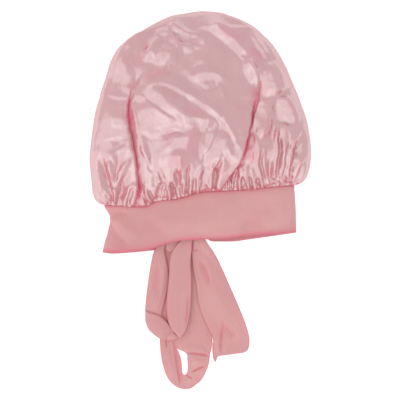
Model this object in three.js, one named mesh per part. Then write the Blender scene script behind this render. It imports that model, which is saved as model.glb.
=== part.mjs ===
// A satin sleep bonnet with a wide jersey band and a bow at the nape, lying flat on its back.
// Millimetres. +Y runs from the bow towards the crown's top, +Z is up, and the surface it lies on is z = 0.
import * as THREE from "three";

// Cloth thicknesses. The band and the ties are jersey sewn double.
const SATIN = 1.6;
const JERSEY = 2.2;

// How the flattened bag is rounded: the upper layer is a low dome, the under layer is pressed flat.
const DOME_POWER = 2.6;
const UNDERSIDE_POWER = 5;
const UNDERSIDE_PRESS = 1.05;
const SIDE_CROWDING = 0.45;

// Gathers along the seam: how many show above and below, how deep they are, and how far they reach.
const GATHERS_ABOVE = 25;
const GATHERS_BELOW = 11;
const GATHER_DEPTH = 3.4;
const GATHER_PEAK_AT = 0.075;
const PRESSED_FLAT = { from: 0.05, to: 0.25 };
const SEAM_GAP = 0.6;

// Where across a gather its valley and its two shoulders lie.
const GATHER_SAMPLES = [0, 0.3, 0.7];

// The crown, from the seam (at 0) to its top (at 1): both ends of each section seen from above,
// the height of the upper layer, and the height of the side folds.
const CROWN_SECTIONS = [
  { at: 0.0, leftX: -130.6, leftY: -8.5, rightX: 128.6, rightY: 19.3, top: 24, edge: 8 },
  { at: 0.044, leftX: -144.0, leftY: 1.5, rightX: 141.8, rightY: 26.4, top: 38, edge: 14 },
  { at: 0.123, leftX: -148.4, leftY: 30.1, rightX: 148.9, rightY: 43.8, top: 50, edge: 17 },
  { at: 0.213, leftX: -150.2, leftY: 61.6, rightX: 150.4, rightY: 68.4, top: 56, edge: 18 },
  { at: 0.306, leftX: -146.0, leftY: 94.4, rightX: 146.4, rightY: 102.6, top: 57, edge: 17 },
  { at: 0.409, leftX: -138.9, leftY: 130.0, rightX: 136.1, rightY: 134.1, top: 54, edge: 15 },
  { at: 0.529, leftX: -127.9, leftY: 171.0, rightX: 120.4, rightY: 172.4, top: 47, edge: 12 },
  { at: 0.635, leftX: -112.2, leftY: 205.2, rightX: 98.3, rightY: 211.2, top: 38, edge: 10 },
  { at: 0.75, leftX: -78.0, leftY: 231.4, rightX: 69.8, rightY: 237.2, top: 28, edge: 8 },
  { at: 0.861, leftX: -46.0, leftY: 248.9, rightX: 38.3, rightY: 252.1, top: 18, edge: 6 },
  { at: 0.95, leftX: -15.0, leftY: 256.0, rightX: 17.4, rightY: 256.9, top: 9, edge: 4 },
  { at: 1.0, leftX: 2.7, leftY: 258.0, rightX: 2.7, rightY: 258.0, top: 5, edge: 3 },
];
const CROWN_RINGS = [
  0, 0.018, 0.044, 0.08, 0.125, 0.18, 0.24, 0.305, 0.37,
  0.44, 0.51, 0.58, 0.65, 0.72, 0.79, 0.86, 0.92, 0.97,
];
const LINING_END = 0.88;
const LINING_TIP = 0.92;

// The crown's main folds, seen from above. A grooved fold has a negative lift.
const FOLDS = [
  {
    name: "left pleat", lift: -10, width: 9,
    path: [[-101, 150], [-99, 118], [-93, 70], [-88, 30], [-86, -2]],
  },
  { name: "left pleat lip", lift: 5, width: 9, path: [[-82, 96], [-76, 62], [-71, 30], [-70, 8]] },
  { name: "left pleat crest", lift: 4, width: 8, path: [[-86, 150], [-83, 182], [-68, 206], [-54, 229]] },
  {
    name: "right pleat", lift: -10, width: 9,
    path: [[78, 182], [79, 139], [71, 108], [61, 70], [48, 36], [34, 18]],
  },
  { name: "right pleat lip", lift: 5, width: 9, path: [[84, 160], [84, 124], [80, 84], [82, 50], [83, 24]] },
  {
    name: "long ridge", lift: 5, width: 8,
    path: [[-72, 155], [-55, 161], [-16, 146], [21, 121], [41, 100], [55, 72]],
  },
  { name: "short ridge", lift: 5, width: 8, path: [[-77, 151], [-51, 131], [-26, 111], [-14, 107]] },
  { name: "shaded dip", lift: -5, width: 13, path: [[-72, 166], [-50, 178], [-14, 160]] },
  { name: "front dip", lift: -5, width: 8, path: [[27, 99], [16, 82], [2, 46]] },
  { name: "front pleat", lift: 5, width: 8, path: [[34, 92], [14, 57], [0, 31]] },
  { name: "upper left roll", lift: 4, width: 9, path: [[-57, 228], [-39, 221], [-23, 211], [-4, 211]] },
  { name: "upper right roll", lift: 5, width: 10, path: [[-5, 233], [27, 228], [54, 208], [76, 169]] },
  { name: "left rim roll", lift: 4, width: 11, path: [[-131, 130], [-117, 179], [-90, 212], [-73, 228]] },
  { name: "left puff", lift: 4, width: 9, path: [[-127, 54], [-125, 37], [-119, 13]] },
  { name: "left inner puff", lift: 4, width: 9, path: [[-96, 61], [-109, 32], [-116, 5]] },
  { name: "right puff", lift: 4, width: 9, path: [[107, 131], [106, 103], [104, 46]] },
  { name: "right rim puff", lift: 4, width: 9, path: [[141, 86], [129, 62], [119, 26]] },
];
const FOLD_STEPS = 24;
const FOLD_FADE = 0.22;
// Folds die out before they reach the side folds, between these shares of the half width.
const FOLD_SIDE_FADE = { from: 0.97, to: 0.8 };

// How far the front of the seam lies off the straight line between its ends, across the front.
const SEAM_WAVE = [
  { at: -1, shift: 0 },
  { at: -0.75, shift: -4.6 },
  { at: -0.56, shift: -7.6 },
  { at: -0.44, shift: -2.4 },
  { at: -0.2, shift: -1.6 },
  { at: 0, shift: 3.4 },
  { at: 0.35, shift: 1.2 },
  { at: 1, shift: 0 },
];
const SEAM_WAVE_REACH = 0.14;

// The band, from its mouth (at 0) to the seam (at 1).
const BAND_SECTIONS = [
  { at: 0, leftX: -133, leftY: -70.5, rightX: 131.5, rightY: -43.5, top: 19, edge: 6 },
  { at: 0.36, leftX: -128.6, leftY: -50, rightX: 131, rightY: -21, top: 20, edge: 7 },
  { at: 0.74, leftX: -123.6, leftY: -24, rightX: 129.6, rightY: 2, top: 22, edge: 8 },
  { at: 1, leftX: -130.6, leftY: -8.5, rightX: 128.6, rightY: 19.3, top: 24, edge: 8 },
];
const BAND_RINGS = 7;
const BAND_POINTS_ABOVE = 40;
const BAND_POINTS_BELOW = 32;
// How far the front of the mouth lies off the straight line between its ends, across the front.
const MOUTH_WAVE = [
  { at: -1, shift: 0 },
  { at: -0.75, shift: -2.3 },
  { at: -0.5, shift: -1.6 },
  { at: -0.33, shift: 3.3 },
  { at: -0.2, shift: 5.4 },
  { at: 0.03, shift: 4.1 },
  { at: 0.25, shift: 2 },
  { at: 0.45, shift: 3.2 },
  { at: 0.75, shift: 2 },
  { at: 1, shift: 0 },
];
// The under layer of the mouth hangs out a little further, and is drawn up round the knot.
const MOUTH_DROP = 5;
const KNOT_NOTCH = { x: -17, halfWidth: 36, depth: 21 };

// The bow's knot, a short thick roll across the nape. Its ends taper.
const KNOT = [
  { x: -40, y: -51.5, z: 7.3, wide: 7, thick: 9 },
  { x: -35, y: -51.5, z: 7.3, wide: 10, thick: 13 },
  { x: -17, y: -51.5, z: 7.3, wide: 11, thick: 14.4 },
  { x: 5, y: -51.5, z: 7.3, wide: 10, thick: 13 },
  { x: 10, y: -51.5, z: 7.3, wide: 7, thick: 9 },
];

// Each tie is a strip folded along its length. A row gives the middle of the strip, its width
// and its thickness.
const LEFT_LOOP = [
  { x: -40, y: -59.4, z: 2.6, wide: 10, thick: 4.6 },
  { x: -49, y: -67, z: 2.4, wide: 15, thick: 4.6 },
  { x: -55, y: -84.8, z: 2.1, wide: 21, thick: 4 },
  { x: -57.6, y: -113.5, z: 1.8, wide: 27, thick: 3.6 },
  { x: -60.7, y: -140.9, z: 1.8, wide: 29, thick: 3.6 },
  { x: -62, y: -158.7, z: 2.6, wide: 27, thick: 3.6 },
  { x: -55.6, y: -175, z: 5.3, wide: 25, thick: 3.6 },
  { x: -42.4, y: -181.6, z: 5.8, wide: 19, thick: 3.4 },
  { x: -31, y: -174, z: 5.4, wide: 15, thick: 3 },
  { x: -26.5, y: -154.6, z: 4.9, wide: 18, thick: 2.6 },
  { x: -26, y: -127.2, z: 4.9, wide: 22, thick: 2.6 },
  { x: -26, y: -95.8, z: 4.9, wide: 22, thick: 2.6 },
  { x: -25, y: -58.9, z: 4.9, wide: 16, thick: 2.6 },
];
const CENTRE_LOOP = [
  { x: -22, y: -58.9, z: 12, wide: 20, thick: 2.6 },
  { x: -25, y: -72, z: 12.2, wide: 26, thick: 2.6 },
  { x: -27.6, y: -95, z: 12.1, wide: 31, thick: 2.6 },
  { x: -28.6, y: -130, z: 12, wide: 31.5, thick: 2.6 },
  { x: -29.2, y: -155, z: 12, wide: 27, thick: 2.6 },
  { x: -28.6, y: -172, z: 12, wide: 20, thick: 2.6 },
  { x: -27.4, y: -184, z: 10.4, wide: 13, thick: 2.4 },
  { x: -27.4, y: -172, z: 8.8, wide: 17, thick: 2.2 },
  { x: -27.6, y: -145, z: 8.8, wide: 24, thick: 2.2 },
  { x: -27.6, y: -95, z: 8.8, wide: 26, thick: 2.2 },
  { x: -22, y: -58.9, z: 8.8, wide: 18, thick: 2.2 },
];
const LONG_TAIL = [
  { x: -17.8, y: -58.9, z: 1.8, wide: 17, thick: 3 },
  { x: -19.2, y: -88.9, z: 1.5, wide: 22, thick: 3 },
  { x: -19.8, y: -123.1, z: 1.5, wide: 25, thick: 3 },
  { x: -15.2, y: -154.6, z: 1.5, wide: 26, thick: 3 },
  { x: -8.8, y: -175.1, z: 1.5, wide: 30, thick: 3 },
  { x: -4.6, y: -194.3, z: 1.5, wide: 38, thick: 3 },
  { x: -2.1, y: -210.7, z: 1.5, wide: 31, thick: 3 },
  { x: -1.4, y: -223, z: 1.5, wide: 26, thick: 3 },
  { x: -5.4, y: -239.5, z: 1.5, wide: 22, thick: 3 },
  { x: -18.4, y: -249, z: 1.5, wide: 20, thick: 3 },
  { x: -32.6, y: -240.6, z: 1.5, wide: 22, thick: 3 },
  { x: -38.4, y: -222, z: 1.5, wide: 24, thick: 3 },
  { x: -42.7, y: -205.2, z: 1.5, wide: 23, thick: 3 },
  { x: -43.8, y: -192.9, z: 1.5, wide: 22, thick: 3 },
  { x: -43.8, y: -183.3, z: 1.5, wide: 20, thick: 3 },
];
const WIDE_TAIL = [
  { x: 3, y: -58.9, z: 1.8, wide: 16, thick: 3 },
  { x: 4.5, y: -71, z: 1.6, wide: 21, thick: 3 },
  { x: 9.4, y: -85, z: 1.5, wide: 32, thick: 3 },
  { x: 15.8, y: -116, z: 1.5, wide: 45, thick: 3 },
  { x: 24.8, y: -146, z: 1.5, wide: 53, thick: 3 },
  { x: 32.6, y: -164, z: 1.5, wide: 53, thick: 3 },
  { x: 41.4, y: -185, z: 1.5, wide: 51, thick: 3 },
  { x: 43.2, y: -201, z: 1.5, wide: 49, thick: 3 },
  { x: 43.2, y: -209.5, z: 1.5, wide: 48, thick: 3 },
];
// The wide tail's end is cut aslant, so that its inner corner reaches further down.
const WIDE_TAIL_SLANT = -0.13;

const STRIP_STEPS = 2;
const STRIP_SIDES = 12;
const STRIP_ROUNDING = 0.55;

// A value from a table's column at a place along it, on a smooth curve through the rows.
function columnAt(rows, column, at) {
  const last = rows.length - 2;
  let row = rows.findIndex((r, i) => i <= last && at <= rows[i + 1].at);
  if (row < 0) row = last;
  const slope = (i) => {
    const a = rows[Math.max(i - 1, 0)];
    const b = rows[Math.min(i + 1, rows.length - 1)];
    return (b[column] - a[column]) / (b.at - a.at);
  };
  const span = rows[row + 1].at - rows[row].at;
  const t = (at - rows[row].at) / span;
  const t2 = t * t;
  const t3 = t2 * t;
  return (
    (2 * t3 - 3 * t2 + 1) * rows[row][column] +
    (t3 - 2 * t2 + t) * span * slope(row) +
    (3 * t2 - 2 * t3) * rows[row + 1][column] +
    (t3 - t2) * span * slope(row + 1)
  );
}

function smoothStep(low, high, x) {
  const t = Math.min(1, Math.max(0, (x - low) / (high - low)));
  return t * t * (3 - 2 * t);
}

// Round a flattened bag, u runs from the left fold over the front to the right fold at 0.5, and back
// below. This is the share across, from -1 at the left to 1 at the right.
function shareAcross(u) {
  const along = u <= 0.5 ? 2 * u : 2 - 2 * u;
  return SIDE_CROWDING * -Math.cos(Math.PI * along) + (1 - SIDE_CROWDING) * (2 * along - 1);
}

function roundness(share, power) {
  return Math.pow(Math.max(0, 1 - Math.pow(Math.abs(share), power)), 1 / power);
}

// A point of the smooth bag, before gathers and folds.
function bagPoint(sections, u, at) {
  const share = shareAcross(u);
  const side = (share + 1) / 2;
  const between = (left, right) =>
    (1 - side) * columnAt(sections, left, at) + side * columnAt(sections, right, at);
  const top = columnAt(sections, "top", at);
  const edge = columnAt(sections, "edge", at);
  const z =
    u <= 0.5
      ? edge + (top - edge) * roundness(share, DOME_POWER)
      : edge * Math.max(0, 1 - UNDERSIDE_PRESS * roundness(share, UNDERSIDE_POWER));
  return new THREE.Vector3(between("leftX", "rightX"), between("leftY", "rightY"), z);
}

// The outward direction of a surface given as a function of u and at.
function outward(surface, u, at) {
  const du = 0.004;
  const dv = 0.004;
  const ahead = surface((u + du) % 1, at);
  const behind = surface((u - du + 1) % 1, at);
  const above = surface(u, Math.min(at + dv, 1));
  const below = surface(u, Math.max(at - dv, 0));
  return ahead.sub(behind).cross(above.sub(below)).normalize();
}

function seamShift(u) {
  return u < 0.5 ? columnAt(SEAM_WAVE, "shift", shareAcross(u)) : 0;
}

function crownBase(u, at) {
  const point = bagPoint(CROWN_SECTIONS, u, at);
  point.y += SEAM_GAP + seamShift(u) * (1 - smoothStep(0, SEAM_WAVE_REACH, at));
  return point;
}

// The edges between gathers along one side of the seam, uneven as hand-fed gathers are.
function gatherEdges(count) {
  const width = (i) => 1 + 0.35 * Math.sin(2.4 * i) + 0.2 * Math.sin(5.1 * i);
  const widths = Array.from({ length: count }, (_, i) => width(i));
  const total = widths.reduce((sum, w) => sum + w, 0);
  const edges = [0];
  for (const w of widths) edges.push(edges[edges.length - 1] + w / total);
  return edges;
}

// Points round the seam, at each gather's valley and shoulders, with how far each stands out.
function gatherStations() {
  const stations = [];
  for (const [start, count] of [[0, GATHERS_ABOVE], [0.5, GATHERS_BELOW]]) {
    const edges = gatherEdges(count);
    for (let i = 0; i < count; i++) {
      for (const t of GATHER_SAMPLES) {
        const u = start + 0.5 * (edges[i] + t * (edges[i + 1] - edges[i]));
        const strength = 0.75 + 0.35 * Math.sin(3.7 * i);
        stations.push({ u, height: strength * (2 * Math.pow(Math.sin(Math.PI * t), 0.6) - 1) });
      }
    }
  }
  return stations;
}

// How far the gathers stand out. On the under layer they are pressed out flat a little way from the seam.
function gatherReach(u, at) {
  const x = at / GATHER_PEAK_AT;
  const pressed = u < 0.5 ? 1 : 1 - smoothStep(PRESSED_FLAT.from, PRESSED_FLAT.to, at);
  return pressed * GATHER_DEPTH * x * Math.exp(1 - x);
}

const foldLines = FOLDS.map((fold) => ({
  ...fold,
  line: new THREE.SplineCurve(fold.path.map(([x, y]) => new THREE.Vector2(x, y))).getPoints(FOLD_STEPS),
}));

// How far the folds raise or sink the front at a place seen from above.
function foldLift(x, y) {
  const place = new THREE.Vector2(x, y);
  let lift = 0;
  for (const fold of foldLines) {
    let nearest = 0;
    let gap = Infinity;
    fold.line.forEach((point, i) => {
      const d = point.distanceTo(place);
      if (d < gap) {
        gap = d;
        nearest = i;
      }
    });
    const t = nearest / FOLD_STEPS;
    const fade = smoothStep(-0.02, FOLD_FADE, t) * smoothStep(-0.02, FOLD_FADE, 1 - t);
    lift += fold.lift * fade * Math.exp(-((gap / fold.width) ** 2));
  }
  return lift;
}

function foldStrength(u, at) {
  const sides = 1 - smoothStep(FOLD_SIDE_FADE.to, FOLD_SIDE_FADE.from, Math.abs(shareAcross(u)));
  return sides * smoothStep(0, 0.06, at);
}

// Triangles collected face by face.
function newSkin() {
  const corners = [];
  const triangle = (a, b, c) => corners.push(a, b, c);
  return {
    // Joins two rings of the same number of points. Seen from outside, the second lies above the first.
    join(lower, upper) {
      lower.forEach((point, i) => {
        const next = (i + 1) % lower.length;
        triangle(point, lower[next], upper[next]);
        triangle(point, upper[next], upper[i]);
      });
    },
    closeOver(ring, tip) {
      ring.forEach((point, i) => triangle(point, ring[(i + 1) % ring.length], tip));
    },
    geometry() {
      const geometry = new THREE.BufferGeometry().setFromPoints(corners);
      geometry.computeVertexNormals();
      return geometry;
    },
  };
}

const reversed = (ring) => [...ring].reverse();

function crownGeometry() {
  const stations = gatherStations();
  const rings = CROWN_RINGS.map((at) =>
    stations.map(({ u, height }) => {
      const base = crownBase(u, at);
      const direction = outward(crownBase, u, at);
      const fold = u < 0.5 ? foldLift(base.x, base.y) * foldStrength(u, at) : 0;
      const outer = base.addScaledVector(direction, gatherReach(u, at) * height + fold);
      outer.z = Math.max(outer.z, 0);
      return { outer, inner: outer.clone().addScaledVector(direction, -SATIN) };
    }),
  );
  const outer = rings.map((ring) => ring.map((p) => p.outer));
  const inner = rings.filter((_, i) => CROWN_RINGS[i] < LINING_END).map((ring) => ring.map((p) => p.inner));
  const tip = bagPoint(CROWN_SECTIONS, 0.25, 1);
  const liningTip = bagPoint(CROWN_SECTIONS, 0.25, LINING_TIP);
  liningTip.z /= 2;

  const skin = newSkin();
  for (let i = 0; i + 1 < outer.length; i++) skin.join(outer[i], outer[i + 1]);
  skin.closeOver(outer.at(-1), tip);
  for (let i = 0; i + 1 < inner.length; i++) skin.join(reversed(inner[i]), reversed(inner[i + 1]));
  skin.closeOver(reversed(inner.at(-1)), liningTip);
  skin.join(inner[0], outer[0]);
  return skin.geometry();
}

// How far the mouth's edge lies off the straight line between its ends.
function mouthShift(u) {
  const share = shareAcross(u);
  if (u <= 0.5) return columnAt(MOUTH_WAVE, "shift", share);
  const x = bagPoint(BAND_SECTIONS, u, 0).x;
  const drop = MOUTH_DROP * (1 - share ** 4);
  const notch = KNOT_NOTCH.depth * Math.exp(-(((x - KNOT_NOTCH.x) / KNOT_NOTCH.halfWidth) ** 4));
  return notch - drop;
}

function bandBase(u, at) {
  const point = bagPoint(BAND_SECTIONS, u, at);
  point.y += seamShift(u) * at ** 2 + mouthShift(u) * (1 - at) ** 2;
  return point;
}

function bandGeometry() {
  const above = Array.from({ length: BAND_POINTS_ABOVE }, (_, i) => (0.5 * i) / BAND_POINTS_ABOVE);
  const below = Array.from({ length: BAND_POINTS_BELOW }, (_, i) => 0.5 + (0.5 * i) / BAND_POINTS_BELOW);
  const outer = [];
  const inner = [];
  for (let k = 0; k < BAND_RINGS; k++) {
    const at = k / (BAND_RINGS - 1);
    const ring = [...above, ...below].map((u) => {
      const point = bandBase(u, at);
      return { point, inside: point.clone().addScaledVector(outward(bandBase, u, at), -JERSEY) };
    });
    outer.push(ring.map((p) => p.point));
    inner.push(ring.map((p) => p.inside));
  }
  const skin = newSkin();
  for (let k = 0; k + 1 < BAND_RINGS; k++) {
    skin.join(outer[k], outer[k + 1]);
    skin.join(reversed(inner[k]), reversed(inner[k + 1]));
  }
  skin.join(inner[0], outer[0]);
  skin.join(outer.at(-1), inner.at(-1));
  return skin.geometry();
}

// A flattened tube along a table of rows. Its width lies across the route, or along a fixed direction.
function stripGeometry(rows, { across = null, slant = 0 } = {}) {
  const middles = rows.map((r) => new THREE.Vector3(r.x, r.y, r.z));
  const curve = new THREE.CatmullRomCurve3(middles, false, "centripetal");
  const placed = rows.map((r, i) => ({ ...r, at: i / (rows.length - 1) }));
  const steps = (rows.length - 1) * STRIP_STEPS;
  const rings = Array.from({ length: steps + 1 }, (_, k) => {
    const at = k / steps;
    const middle = curve.getPoint(at);
    const ahead = curve.getTangent(at);
    const level = across ?? new THREE.Vector3(-ahead.y, ahead.x, 0).normalize();
    const up = new THREE.Vector3().crossVectors(ahead, level).normalize();
    const sideways = new THREE.Vector3().crossVectors(up, ahead);
    const wide = columnAt(placed, "wide", at) / 2;
    const thick = columnAt(placed, "thick", at) / 2;
    return Array.from({ length: STRIP_SIDES }, (_, i) => {
      const angle = (2 * Math.PI * i) / STRIP_SIDES;
      const bent = (value) => Math.sign(value) * Math.pow(Math.abs(value), STRIP_ROUNDING);
      const shift = wide * bent(Math.cos(angle));
      const point = middle
        .clone()
        .addScaledVector(sideways, shift)
        .addScaledVector(up, thick * bent(Math.sin(angle)))
        .addScaledVector(ahead, k === steps ? slant * shift : 0);
      point.z = Math.max(point.z, 0);
      return point;
    });
  });
  const sumOf = (ring) => ring.reduce((sum, p) => sum.add(p), new THREE.Vector3());
  const middleOf = (ring) => sumOf(ring).divideScalar(ring.length);
  const skin = newSkin();
  for (let k = 0; k < steps; k++) skin.join(rings[k], rings[k + 1]);
  skin.closeOver(rings.at(-1), middleOf(rings.at(-1)));
  skin.closeOver(reversed(rings[0]), middleOf(rings[0]));
  return skin.geometry();
}

const cloth = (name, color, roughness) =>
  new THREE.MeshStandardMaterial({ name, color, roughness, metalness: 0 });
const satin = cloth("satin", "#dcb0b9", 0.35);
const jersey = cloth("jersey", "#dfa0a3", 0.85);

function piece(name, geometry, material) {
  const mesh = new THREE.Mesh(geometry, material);
  mesh.name = name;
  return mesh;
}

const bonnet = new THREE.Group();
bonnet.add(
  piece("crown", crownGeometry(), satin),
  piece("band", bandGeometry(), jersey),
  piece("bow_knot", stripGeometry(KNOT), jersey),
  piece("bow_loop_left", stripGeometry(LEFT_LOOP), jersey),
  piece("bow_loop_centre", stripGeometry(CENTRE_LOOP, { across: new THREE.Vector3(1, 0, 0) }), jersey),
  piece("tail_long", stripGeometry(LONG_TAIL), jersey),
  piece("tail_wide", stripGeometry(WIDE_TAIL, { slant: WIDE_TAIL_SLANT }), jersey),
);

export default bonnet;
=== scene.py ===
# A pink satin sleep bonnet with a jersey band and ties, lying flat on its back, +Z up. The tables are in
# millimetres, or in pixels of the photograph where they say so, and the meshes are in metres.
import math
from collections import namedtuple

import bpy
import numpy as np
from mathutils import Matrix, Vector


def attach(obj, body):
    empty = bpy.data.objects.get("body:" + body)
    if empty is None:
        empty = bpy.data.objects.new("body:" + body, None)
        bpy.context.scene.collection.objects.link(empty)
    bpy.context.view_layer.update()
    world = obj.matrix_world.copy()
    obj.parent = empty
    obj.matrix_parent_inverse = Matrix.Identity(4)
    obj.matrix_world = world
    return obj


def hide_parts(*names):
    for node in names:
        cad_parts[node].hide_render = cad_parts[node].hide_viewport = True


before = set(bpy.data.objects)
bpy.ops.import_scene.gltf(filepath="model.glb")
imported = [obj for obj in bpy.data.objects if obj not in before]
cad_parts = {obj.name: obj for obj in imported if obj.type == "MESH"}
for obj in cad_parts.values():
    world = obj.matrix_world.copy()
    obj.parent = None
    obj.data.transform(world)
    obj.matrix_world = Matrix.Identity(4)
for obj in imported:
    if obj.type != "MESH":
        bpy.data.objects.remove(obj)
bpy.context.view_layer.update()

MM = 0.001

# Places are read off the photograph, taken from straight above. Its middle pixel is the frame's origin.
PHOTO_MIDDLE = 200.0
MM_PER_PIXEL = 1.368

# How the flattened bag is rounded: the upper layer is a low dome, the under layer is pressed flat.
DOME_POWER = 2.6
UNDERSIDE_POWER = 5
UNDERSIDE_PRESS = 1.05
SIDE_CROWDING = 0.45

# Sections of the flattened bag in millimetres: both ends of each seen from above, the height of the
# upper layer, and the height of the side folds.
Section = namedtuple("Section", "at left_x left_y right_x right_y top edge")
CROWN_SECTIONS = [
    Section(0.0, -130.6, -8.5, 128.6, 19.3, 24, 8),
    Section(0.044, -144.0, 1.5, 141.8, 26.4, 38, 14),
    Section(0.123, -148.4, 30.1, 148.9, 43.8, 50, 17),
    Section(0.213, -150.2, 61.6, 150.4, 68.4, 56, 18),
    Section(0.306, -146.0, 94.4, 146.4, 102.6, 57, 17),
    Section(0.409, -138.9, 130.0, 136.1, 134.1, 54, 15),
    Section(0.529, -127.9, 171.0, 120.4, 172.4, 47, 12),
    Section(0.635, -112.2, 205.2, 98.3, 211.2, 38, 10),
    Section(0.75, -78.0, 231.4, 69.8, 237.2, 28, 8),
    Section(0.861, -46.0, 248.9, 38.3, 252.1, 18, 6),
    Section(0.95, -15.0, 256.0, 17.4, 256.9, 9, 4),
    Section(1.0, 2.7, 258.0, 2.7, 258.0, 5, 3),
]
BAND_SECTIONS = [
    Section(0, -133, -70.5, 131.5, -43.5, 19, 6),
    Section(0.36, -128.6, -50, 131, -21, 20, 7),
    Section(0.74, -123.6, -24, 129.6, 2, 22, 8),
    CROWN_SECTIONS[0]._replace(at=1),
]

# How far the front of the seam and of the mouth lie off the straight line between their ends.
Wave = namedtuple("Wave", "at shift")
SEAM_WAVE = [
    Wave(-1, 0), Wave(-0.75, -4.6), Wave(-0.56, -7.6), Wave(-0.44, -2.4),
    Wave(-0.2, -1.6), Wave(0, 3.4), Wave(0.35, 1.2), Wave(1, 0),
]
MOUTH_WAVE = [
    Wave(-1, 0), Wave(-0.75, -2.3), Wave(-0.5, -1.6), Wave(-0.33, 3.3), Wave(-0.2, 5.4),
    Wave(0.03, 4.1), Wave(0.25, 2), Wave(0.45, 3.2), Wave(0.75, 2), Wave(1, 0),
]
SEAM_WAVE_REACH = 0.14
MOUTH_BACK_WAVE = [
    Wave(-1, 0), Wave(-0.9, -3.2), Wave(-0.6, -4.4), Wave(-0.3, -4), Wave(0, -2.5), Wave(0.15, -1.0),
    Wave(0.35, -3.4), Wave(0.5, -2.8), Wave(0.8, -1.2), Wave(1, 0),
]
KNOT_NOTCH = {"x": -17, "half_width": 25, "depth": 21, "squareness": 4}

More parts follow.
